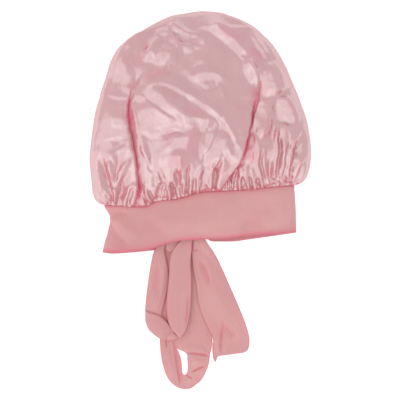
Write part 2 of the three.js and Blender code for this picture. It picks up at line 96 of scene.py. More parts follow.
# The satin's folds, along paths traced on the photograph in its pixels. A sunk fold has a negative lift.
# Lift and the widths of the flanks to the left and the right of the path are in millimetres, and so is
# lean, how far the cloth on its left is pushed over it.
Fold = namedtuple("Fold", "name lift left right path lean", defaults=[0])
CROWN_FOLDS = [
    Fold("left pleat", -6, 5, 11, [
        (140, 252), (138, 230), (137, 209), (137, 198), (137, 188), (136, 177), (135, 166), (133, 154),
        (131, 141), (128, 128), (126, 116), (126, 106), (128, 98), (131, 90), (134, 82), (137, 74)], lean=4),
    Fold("left pleat head", -2, 14, 6, [
        (132, 94), (133, 86), (136, 78), (140, 70), (143, 64), (148, 57), (153, 50)]),
    Fold("left crest", 3, 10, 14, [
        (160, 31), (157, 36), (154, 42), (152, 48), (148, 54), (144, 60), (140, 67), (137, 74),
        (135, 82)]),
    Fold("left hollow", -1, 8, 12, [
        (152, 27), (149, 36), (146, 44), (143, 51), (139, 58), (134, 64), (130, 71)]),
    Fold("left upper facet", 1.5, 4, 8, [(147, 30), (139, 38), (132, 45), (125, 52)]),
    Fold("left roll", 7, 18, 18, [
        (152, 20), (146, 27), (138, 35), (129, 43), (121, 52), (115, 62), (112, 74), (111, 86)]),
    Fold("left inner patch", 2.5, 20, 14, [(119, 71), (125, 72), (131, 75), (135, 79)]),
    Fold("left wall strand", 2.5, 4, 6, [
        (113, 56), (109, 66), (105, 80), (102, 95), (99, 110), (97, 125)]),
    Fold("left wall shade", -1, 8, 5, [(122, 62), (119, 72), (117, 84), (113, 92)]),
    Fold("left step", -1, 3, 9, [(107, 97), (112, 98), (119, 99), (125, 99), (128, 97)]),
    Fold("left second step", 2, 24, 12, [(107, 118), (113, 118), (119, 120), (124, 119)]),
    Fold("left nick", -3, 8, 20, [(116, 136), (117, 143), (121, 150)]),
    Fold("left lower roll", 1.5, 4, 6, [(122, 126), (125, 138), (127, 150), (124, 160)]),
    Fold("left belly", -3.5, 16, 8, [(101, 150), (101, 165), (105, 180), (108, 192)]),
    Fold("loop", 5, 8, 8, [
        (154, 36), (157, 33), (162, 31), (168, 33), (172, 37), (176, 41), (180, 45), (188, 46), (197, 46),
        (206, 45)]),
    Fold("loop strand", 4.5, 7, 7, [
        (165, 20), (170, 22), (176, 26), (182, 30), (187, 33), (193, 33), (200, 31)]),
    Fold("loop strand root", 2, 8, 4, [(166, 26), (172, 28), (180, 31)]),
    Fold("loop shade", 1.5, 9, 9, [(170, 20), (180, 25), (188, 28), (196, 28)]),
    Fold("loop inside", 1, 4, 4, [(176, 33), (183, 37), (191, 40), (199, 41)]),
    Fold("loop fan", 2, 5, 12, [(192, 30), (198, 34), (203, 39), (205, 45)]),
    Fold("upper left dent", -1, 14, 10, [(159, 36), (165, 41), (171, 46), (179, 50)]),
    Fold("top roll", 6, 16, 9, [
        (190, 30), (197, 27), (204, 25), (211, 25), (217, 27), (223, 31), (229, 35), (236, 41), (242, 48),
        (247, 55), (251, 62), (255, 69), (259, 77), (261, 86), (259, 94)]),
    Fold("top strand", 2.5, 6, 4, [
        (205, 27), (211, 26), (217, 25), (224, 26), (231, 28), (239, 29), (246, 30), (250, 35)]),
    Fold("top facet", 3, 7, 5, [(249, 29), (252, 36), (257, 43), (261, 49), (266, 56), (273, 63)]),
    Fold("top cross", 1.5, 3, 7, [(277, 62), (271, 66), (265, 70), (260, 76)]),
    Fold("top dash", -1.5, 3, 4, [(240, 53), (246, 55), (254, 57)]),
    Fold("lens", 4.5, 8, 11, [(243, 59), (250, 66), (257, 76), (258, 88)]),
    Fold("light patch", 8.5, 20, 17, [
        (143, 60), (150, 54), (158, 51), (167, 51), (174, 55), (180, 61)]),
    Fold("light patch tail", 4, 20, 17, [
        (170, 47), (168, 55), (163, 62), (156, 69), (149, 76), (145, 83), (144, 91)]),
    Fold("dip", -2.5, 12, 8, [
        (144, 87), (150, 77), (158, 71), (168, 69), (178, 74), (187, 82), (196, 89), (206, 96),
        (214, 102)]),
    Fold("long ridge", 4, 17, 6, [
        (141, 91), (147, 88), (151, 84), (156, 83), (162, 82), (169, 83), (176, 87), (184, 91), (191, 95),
        (198, 100), (206, 105), (213, 110), (219, 115), (225, 122), (231, 130), (235, 139), (238, 148),
        (240, 157), (238, 166)]),
    Fold("short ridge", 7, 19, 22, [
        (141, 82), (147, 84), (153, 88), (160, 93), (166, 99), (172, 104), (179, 108), (186, 113),
        (192, 120)]),
    Fold("short ridge foot", -2.5, 9, 4, [
        (139, 92), (145, 96), (151, 102), (158, 106), (164, 111), (171, 115), (177, 120), (184, 123)]),
    Fold("small bar", 1, 8, 3, [(131, 96), (136, 95), (142, 96), (148, 98)]),
    Fold("bar foot", -1.5, 4, 24, [(129, 102), (134, 101), (140, 101), (147, 104)]),
    Fold("panel fold", -1.5, 12, 9, [(175, 101), (185, 108), (196, 111), (206, 114)]),
    Fold("third ridge", 7, 21, 16, [
        (170, 117), (178, 116), (185, 116), (193, 116), (201, 119), (209, 119), (216, 123), (223, 126)]),
    Fold("plateau", 3, 32, 22, [(138, 104), (148, 109), (158, 112), (166, 118), (175, 126)]),
    Fold("plateau edge", 1, 3, 5, [(133, 102), (135, 115), (137, 128), (139, 140)]),
    Fold("shelf", -1, 7, 4, [(138, 132), (144, 135), (150, 139), (158, 138), (165, 134)]),
    Fold("fan one", -2, 3, 4, [
        (155, 137), (162, 135), (169, 132), (176, 131), (183, 133), (190, 135)]),
    Fold("fan two", 1, 3, 8, [(152, 143), (160, 141), (167, 140), (174, 137), (181, 138)]),
    Fold("swirl", 4, 11, 30, [
        (162, 177), (159, 168), (160, 158), (164, 150), (170, 146), (176, 140), (184, 137), (190, 132)]),
    Fold("swirl arc", 4.5, 10, 16, [(177, 147), (178, 155), (180, 162), (184, 168), (188, 175)]),
    Fold("inner arc", 3, 5, 14, [(185, 148), (181, 157), (179, 166), (180, 176)]),
    Fold("middle crest", 5, 14, 13, [
        (197, 118), (193, 125), (190, 132), (188, 141), (187, 150), (187, 159), (193, 167), (193, 175)]),
    Fold("middle border", -1, 4, 4, [
        (222, 122), (219, 130), (216, 138), (211, 146), (207, 155), (203, 163), (200, 171), (198, 178)]),
    Fold("middle patch", 2, 3, 8, [(220, 124), (214, 134), (210, 146), (204, 156)]),
    Fold("middle lower roll", 1.5, 3, 8, [(214, 158), (209, 171), (205, 181), (202, 192)]),
    Fold("middle lens", -1, 3, 4, [(225, 154), (220, 166), (217, 176), (213, 186)]),
    Fold("second ridge", 5.5, 14, 19, [
        (234, 127), (229, 135), (225, 144), (220, 152), (219, 161), (213, 169), (206, 176)]),
    Fold("ridge shadow", -1, 4, 5, [(226, 128), (230, 134), (231, 142), (233, 150), (233, 158)]),
    Fold("inner ridge", 2.5, 26, 10, [(226, 142), (230, 151), (235, 160), (235, 168)]),
    Fold("crumple patch", 3.5, 9, 10, [
        (188, 77), (194, 75), (200, 72), (207, 72), (214, 72), (220, 75), (226, 80)]),
    Fold("crumple line", -1.5, 7, 3, [(204, 94), (206, 89), (213, 88), (219, 84), (221, 79)]),
    Fold("crumple branch", 1, 3, 5, [(217, 80), (221, 86), (224, 92), (227, 99)]),
    Fold("crumple end", 2, 4, 16, [(217, 72), (224, 76), (230, 82)]),
    Fold("right lip", 8, 30, 16, [(267, 58), (269, 68), (272, 76), (275, 84), (275, 92), (278, 97)]),
    Fold("right step", 2, 5, 7, [(259, 102), (266, 101), (272, 99), (279, 99)]),
    Fold("right strip", 6, 8, 11, [
        (275, 97), (272, 106), (269, 116), (267, 126), (263, 136), (258, 141)]),
    Fold("right facet", 5, 6, 20, [
        (276, 95), (284, 99), (290, 102), (294, 109), (298, 117), (297, 127)]),
    Fold("right facet foot", -1.5, 9, 3, [(275, 123), (282, 121), (289, 123), (297, 125)]),
    Fold("right streak", -4, 28, 16, [(276, 99), (275, 111), (273, 126), (272, 141), (267, 151)]),
    Fold("right lower patch", 2, 3, 9, [(281, 122), (288, 127), (292, 137), (287, 147)]),
    Fold("right outer patch", -4, 12, 10, [(301, 127), (303, 139), (299, 150), (291, 158)]),
    Fold("right outer curl", 2, 7, 4, [(309, 148), (306, 160), (305, 172), (296, 182)]),
    Fold("right pleat top", -4.5, 5, 10, [
        (259, 70), (260, 77), (261, 86), (260, 95), (258, 104), (255, 112), (253, 121), (250, 130)], lean=3),
    Fold("right pleat", -6, 5, 10, [
        (196, 212), (205, 204), (213, 197), (222, 189), (228, 183), (232, 176), (237, 170), (241, 162),
        (244, 154), (246, 146), (248, 138), (250, 131), (252, 122), (254, 113), (256, 103),
        (258, 94)], lean=4),
]

# Painted shade: patches where two layers of satin lie close, mixed towards a deeper pink with less gloss:
# how strongly, how wide in millimetres, and where.
ShadePatch = namedtuple("ShadePatch", "amount width path")
SHADE_PATCHES = [
    ShadePatch(0.2, 8, [(153, 27), (149, 38), (144.6, 49), (140, 56), (135, 63), (131, 70)]),
    ShadePatch(0.45, 6, [(126, 85), (131, 87), (136, 88)]),
    ShadePatch(0.6, 4.5, [(129, 92), (126, 101), (124.6, 110), (125, 118), (127.6, 128)]),
    ShadePatch(0.12, 9, [(160, 40), (168, 45), (176, 50)]),
    ShadePatch(0.3, 7, [(147, 84), (150.6, 77), (157, 73), (165, 73), (174, 76)]),
    ShadePatch(0.25, 7, [(156, 88), (164, 89), (173, 93), (182, 98)]),
    ShadePatch(0.32, 6, [(180, 106), (189, 110), (199, 112.6), (209, 116)]),
    ShadePatch(0.3, 4, [(161, 134), (170, 132.4), (180, 135)]),
    ShadePatch(0.3, 4, [(158, 142), (166, 139.6), (175, 139)]),
    ShadePatch(0.26, 9, [(174, 149), (177, 156), (182, 164), (186, 172)]),
    ShadePatch(0.26, 10, [(200, 124), (195, 136), (194, 149), (197, 162)]),
    ShadePatch(0.3, 5, [(227, 131), (231, 138)]),
    ShadePatch(0.3, 7, [(220, 30), (230, 34), (240, 38), (247, 42)]),
    ShadePatch(0.42, 6, [(247, 47), (254, 53), (261, 57), (267, 58)]),
    ShadePatch(0.3, 5, [(254, 60), (258, 68)]),
    ShadePatch(0.6, 6, [(253, 84), (256, 92), (257, 101), (255, 109)]),
    ShadePatch(0.2, 8, [(240, 100), (242, 112)]),
    ShadePatch(0.5, 8, [(250, 134), (250.6, 146), (252, 157), (254.6, 168)]),
    ShadePatch(0.22, 8, [(268, 112), (269, 128), (267, 144)]),
    ShadePatch(0.15, 3.5, [(104, 160), (107, 172), (111, 184), (112, 196)]),
    ShadePatch(0.3, 5, [(122, 182), (122, 192), (121, 202)]),
    ShadePatch(0.7, 5, [(137.6, 186), (138, 196), (138, 207)]),
    ShadePatch(0.3, 5, [(214, 176), (221, 172), (224, 182), (219, 190)]),
]


def gather(lift, width, path):
    return Fold("gather", lift, width, width, path)


# The gathers along the seam, in the same measures: the main ones from west to east, then small darts.
SEAM_FOLDS = [
    gather(3.5, 5, [(102, 139), (96, 154), (95, 168), (99, 184), (104, 196), (108, 205)]),
    gather(-4, 7.5, [(103, 152), (102, 171), (109, 188), (112, 204)]),
    gather(3.5, 4.5, [(107, 156), (110, 170), (112, 184), (114, 200)]),
    gather(-5, 9.5, [(118, 146), (117, 164), (115, 178), (114, 190)]),
    gather(4, 5, [(129, 153), (124, 166), (119, 178), (115, 189), (115, 204)]),
    gather(-4, 7.5, [(126, 164), (122, 180), (120, 192), (120, 206)]),
    gather(3.5, 4.5, [(134, 182), (130, 187), (126, 194), (124, 207)]),
    gather(-2.5, 3.5, [(132, 187), (128, 194), (127, 206)]),
    gather(3.5, 4, [(134, 183), (133, 191), (132, 198), (129, 209)]),
    gather(-3, 3, [(102, 188), (105, 197), (109, 206)]),
    gather(-2.5, 3, [(98, 190), (101, 198), (105, 206)]),
    gather(-3, 3, [(112, 193), (112, 208)]),
    gather(-3, 3, [(117, 192), (118, 208)]),
    gather(4, 5.5, [(142, 133), (143, 146), (146, 157), (152, 166), (158, 176), (161, 186)]),
    gather(-5.5, 7, [
        (148, 150), (150, 162), (154, 170), (160, 176), (162, 184), (161, 193), (159, 205)]),
    gather(-2, 5, [(155, 174), (155, 188)]),
    gather(-3, 3.5, [(142, 193), (146, 201), (151, 208)]),
    gather(-3, 3, [(147, 190), (152, 197), (156, 206)]),
    gather(2.5, 4, [(144, 190), (149, 197), (154, 205)]),
    gather(3, 4, [(164, 186), (162, 192), (161, 204)]),
    gather(-3, 3, [(166, 188), (166, 205)]),
    gather(3, 4.5, [(165, 186), (168, 191), (170, 203)]),
    gather(-3.5, 4, [(170, 182), (173, 190), (173, 204)]),
    gather(-3, 2.5, [(174, 187), (176, 204)]),
    gather(3, 4, [(173, 166), (173, 177), (175, 186), (178, 196)]),
    gather(-4, 6.5, [(175, 166), (178, 177), (179, 186), (178, 196)]),
    gather(3, 3.5, [(184, 170), (182, 180), (180, 188), (179, 204)]),
    gather(-3, 3, [(182, 184), (181, 192), (181, 204)]),
    gather(2.5, 4, [(186, 177), (184, 187), (183, 200)]),
    gather(-2.5, 2.5, [(186, 188), (185, 202)]),
    gather(-3.5, 3, [(191, 162), (188, 171), (188, 182), (187, 200)]),
    gather(2.5, 5, [(192, 179), (191, 188), (190, 199)]),
    gather(-3, 4, [(195, 177), (194, 187), (193, 198)]),
    gather(3.5, 5.5, [(203, 164), (200, 174), (197, 183), (197, 195)]),
    gather(3, 5.5, [(212, 171), (211, 181), (210, 193)]),
    gather(-3, 7.5, [(208, 163), (206, 173), (203, 181), (202, 190)]),
    gather(-2.5, 2.5, [(206, 184), (205, 196)]),
    gather(-2.5, 2.5, [(209, 186), (208, 196)]),
    gather(-2.5, 2.5, [(200, 187), (200, 197)]),
    Fold("gather", -5.5, 4, 3.5, [(222, 155), (220, 163), (217, 168), (215, 175), (214, 183), (212, 197)]),
    gather(-2.5, 2.5, [(214, 161), (215, 174)]),
    gather(3, 13.5, [(226, 157), (223, 168), (220, 178), (216, 188)]),
    gather(-4.5, 3, [(231, 176), (231, 186), (232, 197)]),
    gather(-3, 2.5, [(234, 178), (235, 196)]),
    gather(-3.5, 3, [(238, 172), (237, 183), (237, 196)]),
    gather(-3, 2.5, [(227, 184), (226, 196)]),
    gather(-2.5, 2.5, [(223, 187), (222, 197)]),
    gather(2.5, 3.5, [(236, 172), (233, 182), (233, 196)]),
    gather(2.5, 3.5, [(240, 167), (240, 180), (239, 196)]),
    gather(-5, 3.5, [(242, 176), (244, 185), (247, 190), (251, 194)]),
    gather(-2.5, 2.5, [(242, 184), (243, 195)]),
    gather(3.5, 7, [(247, 161), (246, 172), (246, 182), (248, 191)]),
    gather(-3, 3, [(250, 176), (251, 185), (253, 194)]),
    gather(3, 4, [(252, 166), (253, 178), (256, 192)]),
    gather(3.5, 4.5, [(252, 129), (257, 139), (259, 149), (258, 162), (260, 174), (263, 190)]),
    gather(-3.5, 5, [(262, 148), (261, 162), (263, 173), (266, 190)]),
    gather(3, 4, [(266, 145), (263, 158), (265, 172), (269, 190)]),
    gather(-3.5, 5.5, [(270, 158), (270, 172), (272, 189)]),
    gather(4, 4.5, [
        (282, 118), (278, 128), (277, 139), (278, 150), (276, 160), (275, 169), (274, 186)]),
    gather(-4, 5, [(282, 126), (281, 142), (281, 152), (280, 162), (278, 172), (277, 188)]),
    gather(3.5, 6.5, [(286, 126), (284, 145), (285, 158), (282, 170), (279, 186)]),
    gather(-3, 5.5, [(292, 136), (288, 152), (288, 163), (284, 174), (283, 188)]),
    gather(3.5, 4.5, [(304, 125), (295, 141), (290, 152), (290, 164), (287, 185)]),
    gather(-4, 5.5, [(303, 140), (297, 154), (294, 165), (290, 177), (288, 188)]),
    gather(3, 4, [(308, 151), (300, 165), (295, 175), (291, 187)]),
    gather(-3.5, 5.5, [(305, 161), (300, 171), (296, 178), (294, 188)]),
    gather(3, 4, [(309, 161), (305, 174), (298, 186)]),
    gather(-3, 3, [(258, 178), (259, 193)]),
    gather(-2.5, 2.5, [(267, 176), (268, 192)]),
    gather(-3, 3, [(274, 178), (275, 191)]),
    gather(-3, 3, [(280, 176), (280, 190)]),
    gather(-3, 3, [(286, 176), (285, 190)]),
    gather(-3, 3, [(292, 175), (290, 189)]),
    gather(-3, 3, [(300, 172), (296, 187)]),
]
BAND_CREASES = [
    Fold("side crease", -3.4, 5.5, 15, [(107, 216), (112, 226), (117, 235), (124, 241), (134, 246)]),
    Fold("side roll", 2.4, 13.5, 9.5, [(111, 214), (119, 222), (129, 231), (142, 238)]),
    Fold("side tuck", -2.2, 7.5, 9.5, [(107, 217), (118, 214), (130, 212)]),
    Fold("middle dent", -2, 13.5, 23, [(143, 217), (150, 224), (158, 230), (172, 236)]),
    Fold("long swell", 2, 19, 23, [(155, 218), (180, 222), (205, 222), (228, 218)]),
    Fold("right dent", -2.4, 17, 17, [(236, 231), (250, 222), (266, 210), (282, 199)]),
    Fold("end swell", 1.8, 15, 15, [(260, 226), (276, 217), (290, 206)]),
    Fold("mouth roll", 1, 9.5, 7.5, [(200, 234), (225, 233), (250, 230), (280, 227)]),
]
TIE_CREASES = [
    Fold("wide tail arc", -2, 2.5, 7.5, [(199, 258), (205, 267), (208.6, 277), (209.3, 288)]),
    Fold("wide tail arc roll", 1.4, 7.5, 7.5, [(203, 255), (210, 266), (213.5, 280)]),
    Fold("wide tail fold", -2.4, 2, 3.5, [(224, 318), (222.5, 332), (221.3, 343), (220.6, 358)]),
    Fold("wide tail lap", 1.4, 5.5, 5.5, [(217, 330), (216.6, 342), (216.6, 354)]),
    Fold("wide tail dip", -1.3, 7.5, 7.5, [(223, 322), (229, 331), (238, 335)]),
    Fold("wide tail swell", 1.3, 13.5, 13.5, [(214, 288), (222, 305), (232, 322)]),
    Fold("wide tail root", -2.2, 1.5, 2, [(192.6, 240), (192.5, 246), (192.8, 251)]),
    Fold("wide tail root dart", -1.8, 1.5, 3, [(191.6, 250.4), (195, 250), (199.5, 247.6)]),
    Fold("wide tail edge roll", 0.9, 5.5, 5.5, [(205, 246), (213, 256), (222, 273)]),
    Fold("centre lap", -1.8, 1.5, 2.5, [(190, 290), (187.8, 306), (187, 318), (185.6, 329)]),
    Fold("centre swell", 0.8, 11.5, 11.5, [(181, 256), (180, 280), (179, 308)]),
    Fold("bight lap", -2.8, 2, 2.5, [
        (172.4, 338), (175.4, 350), (177.4, 365), (179.4, 378), (180.4, 387)]),
    Fold("bight second lap", -1.6, 1.5, 2, [(175.6, 343), (178.8, 360), (181.2, 374), (182.5, 384)]),
    Fold("bight roll", 1.2, 7.5, 7.5, [(167, 346), (169.5, 362), (174, 376)]),
    Fold("bight tuck", -1.8, 1.5, 1.5, [(166.6, 335), (166.5, 349)]),
    Fold("right leg crease", -2.6, 1.5, 2.5, [(190.5, 372.2), (198, 368.2), (205.6, 365.4)]),
    Fold("right leg roll", 1.4, 5.5, 7.5, [(189, 357), (197, 361), (206, 363)]),
    Fold("right leg nick", -2, 1.5, 2, [(185.6, 374), (189, 376.2), (193, 378.8)]),
    Fold("turn crease", -2.8, 2, 3, [(182, 352.2), (195, 352.8), (203, 354), (211, 356.4)]),
    Fold("turn roll", 1.6, 7.5, 5.5, [(184, 348.5), (195, 349.5), (208, 352)]),
    Fold("pad nick", -1.6, 1.5, 2.5, [(162.5, 334.8), (168, 333), (174, 330.2)]),
    Fold("pad second nick", -1.4, 1.5, 2, [(172, 330), (176.5, 333.5), (178.4, 338)]),
    Fold("pad swell", 1, 11.5, 11.5, [(151, 321), (158, 327), (167, 332)]),
    Fold("left strand dip", -1.2, 7.5, 7.5, [(158, 262), (157, 278), (155, 296)]),
    Fold("left strand roll", 0.9, 5.5, 5.5, [(163, 264), (164, 280), (161, 298)]),
]

# The satin's grid: its columns and rows, and how the rows crowd to the seam.
CROWN_COLUMNS = {"above": 396, "below": 96}
CROWN_ROWS = 200
ROW_CROWDING = 1.3

# In millimetres: how far the satin sinks to the seam and is tucked into it, how far the ground of its folds
# is sunk, and the least height of any cloth over the surface.
SATIN_SINK = 1.3
SEAM_TUCK = 5.0
FOLDS_SINK = 4.0
CLOTH_LOWEST = 0.1

# Where these things start or end along the crown, from 0 at the seam to 1 at the tip, and across it, from
# 0 in the middle to 1 at the side folds.
TUCKED_AT = -0.02
SINK_END = (0, 0.02)
SEAM_FOLDS_START = (0, 0.014)
FOLDS_START = (0, 0.04)
FOLDS_END = (0.93, 1)
FOLDS_SIDE = (0.86, 0.995)
GROUND_START = (0, 0.06)
GROUND_END = (0.6, 0.97)
GROUND_SIDE = (0.55, 0.97)
SLACK_START = (0, 0.06)
SLACK_END = (0.9, 1)
SLACK_SHARE = {"side": 0.35, "middle": 0.65, "below": 0.25}
PRESSED_FLAT = (0.05, 0.25)

# Gathers run up from the seam: a puff of satin between every two narrow valleys. They are uneven in
# width, strength and reach.
GATHERS = {"above": 25, "below": 11}
GATHER_DEPTH = {"above": 1.6, "below": 3.6}
GATHER_PEAK_AT = {"above": 0.02, "below": 0.05}
GATHER_STRENGTH = 0.75
GATHER_PUFF = 0.6
Wobble = namedtuple("Wobble", "share turn")
WIDTH_WOBBLES = [Wobble(0.35, 2.4), Wobble(0.2, 5.1)]
STRENGTH_WOBBLE = Wobble(0.35, 3.7)
PEAK_WOBBLE = Wobble(0.3, 2.9)
JUST_UNDER_ONE = 0.999999

# Longer darts that some of the underside's valleys run out into: how far they reach and lean, where they
# are whole and open, their depth and width, and the round bottom of their valleys.
DARTS = 10
DART_SEED = 7
DART_KINDS = ("short", "middle", "short", "long", "short")
DART_REACH = {"short": (0.06, 0.12), "middle": (0.12, 0.2), "long": (0.22, 0.34)}
DART_LEAN = 0.03
DART_START = (0, 0.05)
DART_OPEN_AT = 0.15
DART_DEPTH = (1.0, 3.6)
DART_WIDTH = {"seam": 1.8, "end": 9.0}
DART_VALLEY = {"rounding": 0.06, "rise": 0.24}

# Slack of the cloth: how wide, long and high its soft ripples are in millimetres, then the crisper dents
# of crushed satin.
Ripple = namedtuple("Ripple", "wide long lift seed shift", defaults=[0])
SATIN_RIPPLES = [Ripple(46, 46, 3, 11), Ripple(22, 22, 1.2, 12)]
BAND_RIPPLES = [Ripple(38, 26, 0.5, 31), Ripple(14, 11, 0.25, 32)]
TIE_RIPPLES = [Ripple(9, 24, 0.35, 0, 40), Ripple(4, 9, 0.15, 1)]
Dent = namedtuple("Dent", "size lift seed")
DENTS = [Dent(30, 0.5, 13), Dent(11, 0.12, 14)]

# Painted shade: colour mixed towards a deeper pink in folds, standing in for the light caught between them:
# how much at most, and from how many millimetres down.
PaintedShade = namedtuple("PaintedShade", "most start whole")
PLEAT_PAINTED_SHADE = PaintedShade(0.85, 1.5, 6)
SEAM_PAINTED_SHADE = PaintedShade(0.3, 1.5, 5)
GATHER_PAINTED_SHADE = {"per_mm": 0.1, "most": 0.5}
CREASE_PAINTED_SHADE = {"band": 0.05, "tie": 0.2}
# Painted shade on the jersey: how fast it fades from the band's mouth and stitched edge, how much on the
# band's inner layer, and how wide and strong at the ties' edges.
BAND_PAINTED_SHADE = {"mouth_fade": 16, "stitched": 0.7, "stitched_fade": 30, "inside": 0.5}
TIE_EDGE = {"width": 2.2, "painted_shade": 0.6}

BAND_COLUMNS = {"above": 260, "below": 140}
BAND_PROFILE = {"outer": 36, "rim": 7, "inner": 12}
BAND_THICK = 2.2
# Below, where the band is pressed, its ripples are lower and its inner layer lies on the outer one.
BAND_BELOW = {"swell": 0.4, "layer": 0.9}

# How long each cloth is round the bonnet and along it, in millimetres, which places its weave.
CLOTH_SIZE = {"crown": (620, 290), "band": (560, 64)}

# A ribbon of doubled jersey. Each row gives its left and right edge in photograph pixels, the height of
# each edge's middle and the thickness in millimetres.
Row = namedtuple("Row", "left right left_z right_z thick")
LEFT_STRAND = [
    Row((158, 243.5), (167, 243), 5.4, 5.4, 3.4),
    Row((153.8, 252), (164.6, 250), 5.0, 5.0, 3.8),
    Row((151.3, 262), (166.6, 260), 4.2, 4.4, 3.6),
    Row((149.2, 274), (168.8, 272), 3.6, 3.8, 3.2),
    Row((147.3, 288), (168.2, 286), 3.2, 3.4, 3.0),
    Row((145.7, 302), (164.6, 302), 2.9, 3.2, 2.9),
    Row((145.2, 314), (162, 314), 2.6, 2.9, 2.7),
    Row((147.2, 324), (163, 326), 2.2, 2.4, 2.3),
    Row((153, 331), (166, 334), 1.8, 1.9, 2.0),
]
LEFT_LINING = [
    Row((160.5, 243), (178, 243), 1.4, 2.4, 1.6),
    Row((162, 256), (178, 256), 1.2, 2.2, 1.6),
    Row((165, 270), (178, 270), 1.1, 1.6, 1.5),
    Row((164.4, 285), (178, 285), 1.0, 1.2, 1.5),
    Row((160.4, 302), (177, 302), 1.0, 1.0, 1.5),
    Row((158, 316), (176, 316), 0.9, 0.9, 1.4),
    Row((160, 329), (175, 329), 0.9, 0.9, 1.2),
]
LEFT_PAD = [
    Row((145.4, 309), (145.5, 321), 3.6, 3.6, 2.2),
    Row((149.5, 312.2), (148.6, 329), 5.2, 4.8, 2.8),
    Row((155.5, 313.6), (155, 335.2), 5.6, 4.9, 3.0),
    Row((161, 316.3), (162, 339.2), 5.6, 5.1, 3.0),
    Row((166.5, 321.2), (169.5, 340.7), 5.5, 5.1, 2.9),
    Row((171, 327), (176.4, 339), 5.4, 5.2, 2.7),
    Row((174.4, 330), (183, 335.6), 5.4, 5.3, 2.6),
    Row((176, 325), (186.4, 330), 5.3, 5.2, 2.5),
    Row((174.4, 317), (185.4, 321), 5.1, 5.0, 2.5),
    Row((172, 300), (182.6, 303), 4.9, 4.9, 2.4),
    Row((172.5, 275), (182.6, 276), 4.9, 4.9, 2.4),
    Row((175, 244), (184, 244), 5.0, 5.0, 2.4),
]
CENTRE_STRAND = [
    Row((182.5, 236.5), (192.6, 236.5), 11.4, 11.4, 2.2),
    Row((180.4, 240.6), (192.7, 240.6), 11.6, 11.6, 2.6),
    Row((176, 246), (192.3, 246), 11.8, 11.8, 3.0),
    Row((172, 252), (191.6, 252), 12, 12, 3.0),
    Row((169.8, 262), (190.6, 262), 11.8, 11.8, 2.8),
    Row((169, 278), (191.3, 278), 11.6, 11.6, 2.7),
    Row((167.3, 294), (191.2, 294), 11.4, 11.4, 2.7),
    Row((167, 308), (190.4, 308), 11.2, 11.2, 2.7),
    Row((168.2, 320), (188.6, 320), 10.9, 10.9, 2.6),
    Row((171, 327.4), (186.4, 328.2), 10.3, 10.3, 2.5),
    Row((174.6, 331.8), (183.6, 333.4), 9.6, 9.6, 2.2),
    Row((177.4, 335), (181.4, 336), 8.7, 8.7, 1.8),
    Row((175.6, 331), (182.6, 332), 8.0, 8.0, 1.6),
    Row((172.5, 322), (185.4, 322), 7.9, 7.9, 1.8),
    Row((170, 300), (188.5, 300), 7.9, 7.9, 2.0),
    Row((171.5, 270), (188.5, 270), 8.1, 8.1, 2.0),
    Row((176, 246), (190, 246), 8.2, 8.2, 2.0),
]
LONG_TAIL = [
    Row((186, 243), (197, 243), 3.2, 3.2, 2.8),
    Row((186, 258), (199, 258), 3.8, 3.8, 2.8),
    Row((185, 280), (201, 280), 3.8, 3.8, 2.8),
    Row((184, 300), (204, 300), 3.3, 3.0, 2.8),
    Row((182.4, 315), (208, 315), 2.5, 2.2, 2.8),
    Row((179.4, 328), (211, 328), 1.9, 1.8, 2.8),
    Row((174.4, 338), (212.2, 338), 1.7, 1.7, 2.8),
    Row((175.6, 347), (211.8, 346), 1.8, 1.8, 3.0),
    Row((186, 353.2), (209.8, 355.6), 1.8, 1.8, 3.2),
    Row((187.4, 360), (209.2, 362.5), 1.6, 1.6, 2.9),
    Row((187.8, 367), (206.4, 370.6), 1.6, 1.6, 2.9),
    Row((187.3, 371.5), (202, 379), 1.6, 1.6, 2.8),
    Row((186.2, 373.8), (196, 384.6), 1.6, 1.6, 2.8),
    Row((184.8, 374.8), (189.5, 388.6), 1.6, 1.6, 2.8),
    Row((183.2, 373.8), (181, 388.5), 1.6, 1.6, 2.8),
    Row((182.2, 371.5), (173, 384.2), 1.6, 1.6, 2.8),
    Row((181.9, 366), (167, 376.6), 1.6, 1.6, 2.9),
    Row((181.2, 359.4), (163, 365.5), 1.6, 1.6, 2.9),
    Row((179.2, 353.2), (160.8, 354), 1.6, 1.6, 2.9),
    Row((176.4, 347.4), (160, 344), 1.6, 1.6, 2.8),
    Row((174, 341.6), (159.8, 337), 1.5, 1.5, 2.6),
    Row((172, 334.4), (161, 330), 1.4, 1.4, 2.2),
]
WIDE_TAIL = [
    Row((193.4, 238), (204.6, 238), 9.6, 9.0, 3.0),
    Row((192.6, 244.4), (208.6, 245), 9.4, 7.4, 3.6),
    Row((191.8, 252), (213.6, 252), 8.4, 4.6, 3.6),
    Row((192.2, 260), (218, 260), 7.4, 3.0, 3.3),
    Row((193.4, 271), (223.3, 271), 7.0, 2.2, 3.1),
    Row((196, 285), (229.4, 285), 6.4, 1.8, 3.0),
    Row((197.6, 300), (236, 300), 5.8, 1.8, 3.0),
    Row((201.4, 313), (241.4, 313), 5.2, 1.8, 3.0),
    Row((207.2, 326), (246, 325), 4.9, 1.8, 3.0),
    Row((212.6, 338), (249.2, 337), 4.4, 1.8, 3.0),
    Row((213, 347), (249.2, 345), 3.4, 1.8, 2.9),
    Row((213, 354.5), (247.2, 350.4), 2.8, 1.8, 2.8),
    Row((213.2, 356.6), (243.6, 352.6), 2.8, 1.8, 2.4),
]
TAIL_CORNER = [
    Row((212.4, 343), (221, 343), 1.1, 1.1, 1.8),
    Row((212.4, 352), (220.4, 352), 1.0, 1.0, 1.7),
    Row((213.2, 358), (217.6, 357), 0.9, 0.9, 1.6),
    Row((214.8, 361.8), (215.6, 361.8), 0.8, 0.8, 1.2),
]
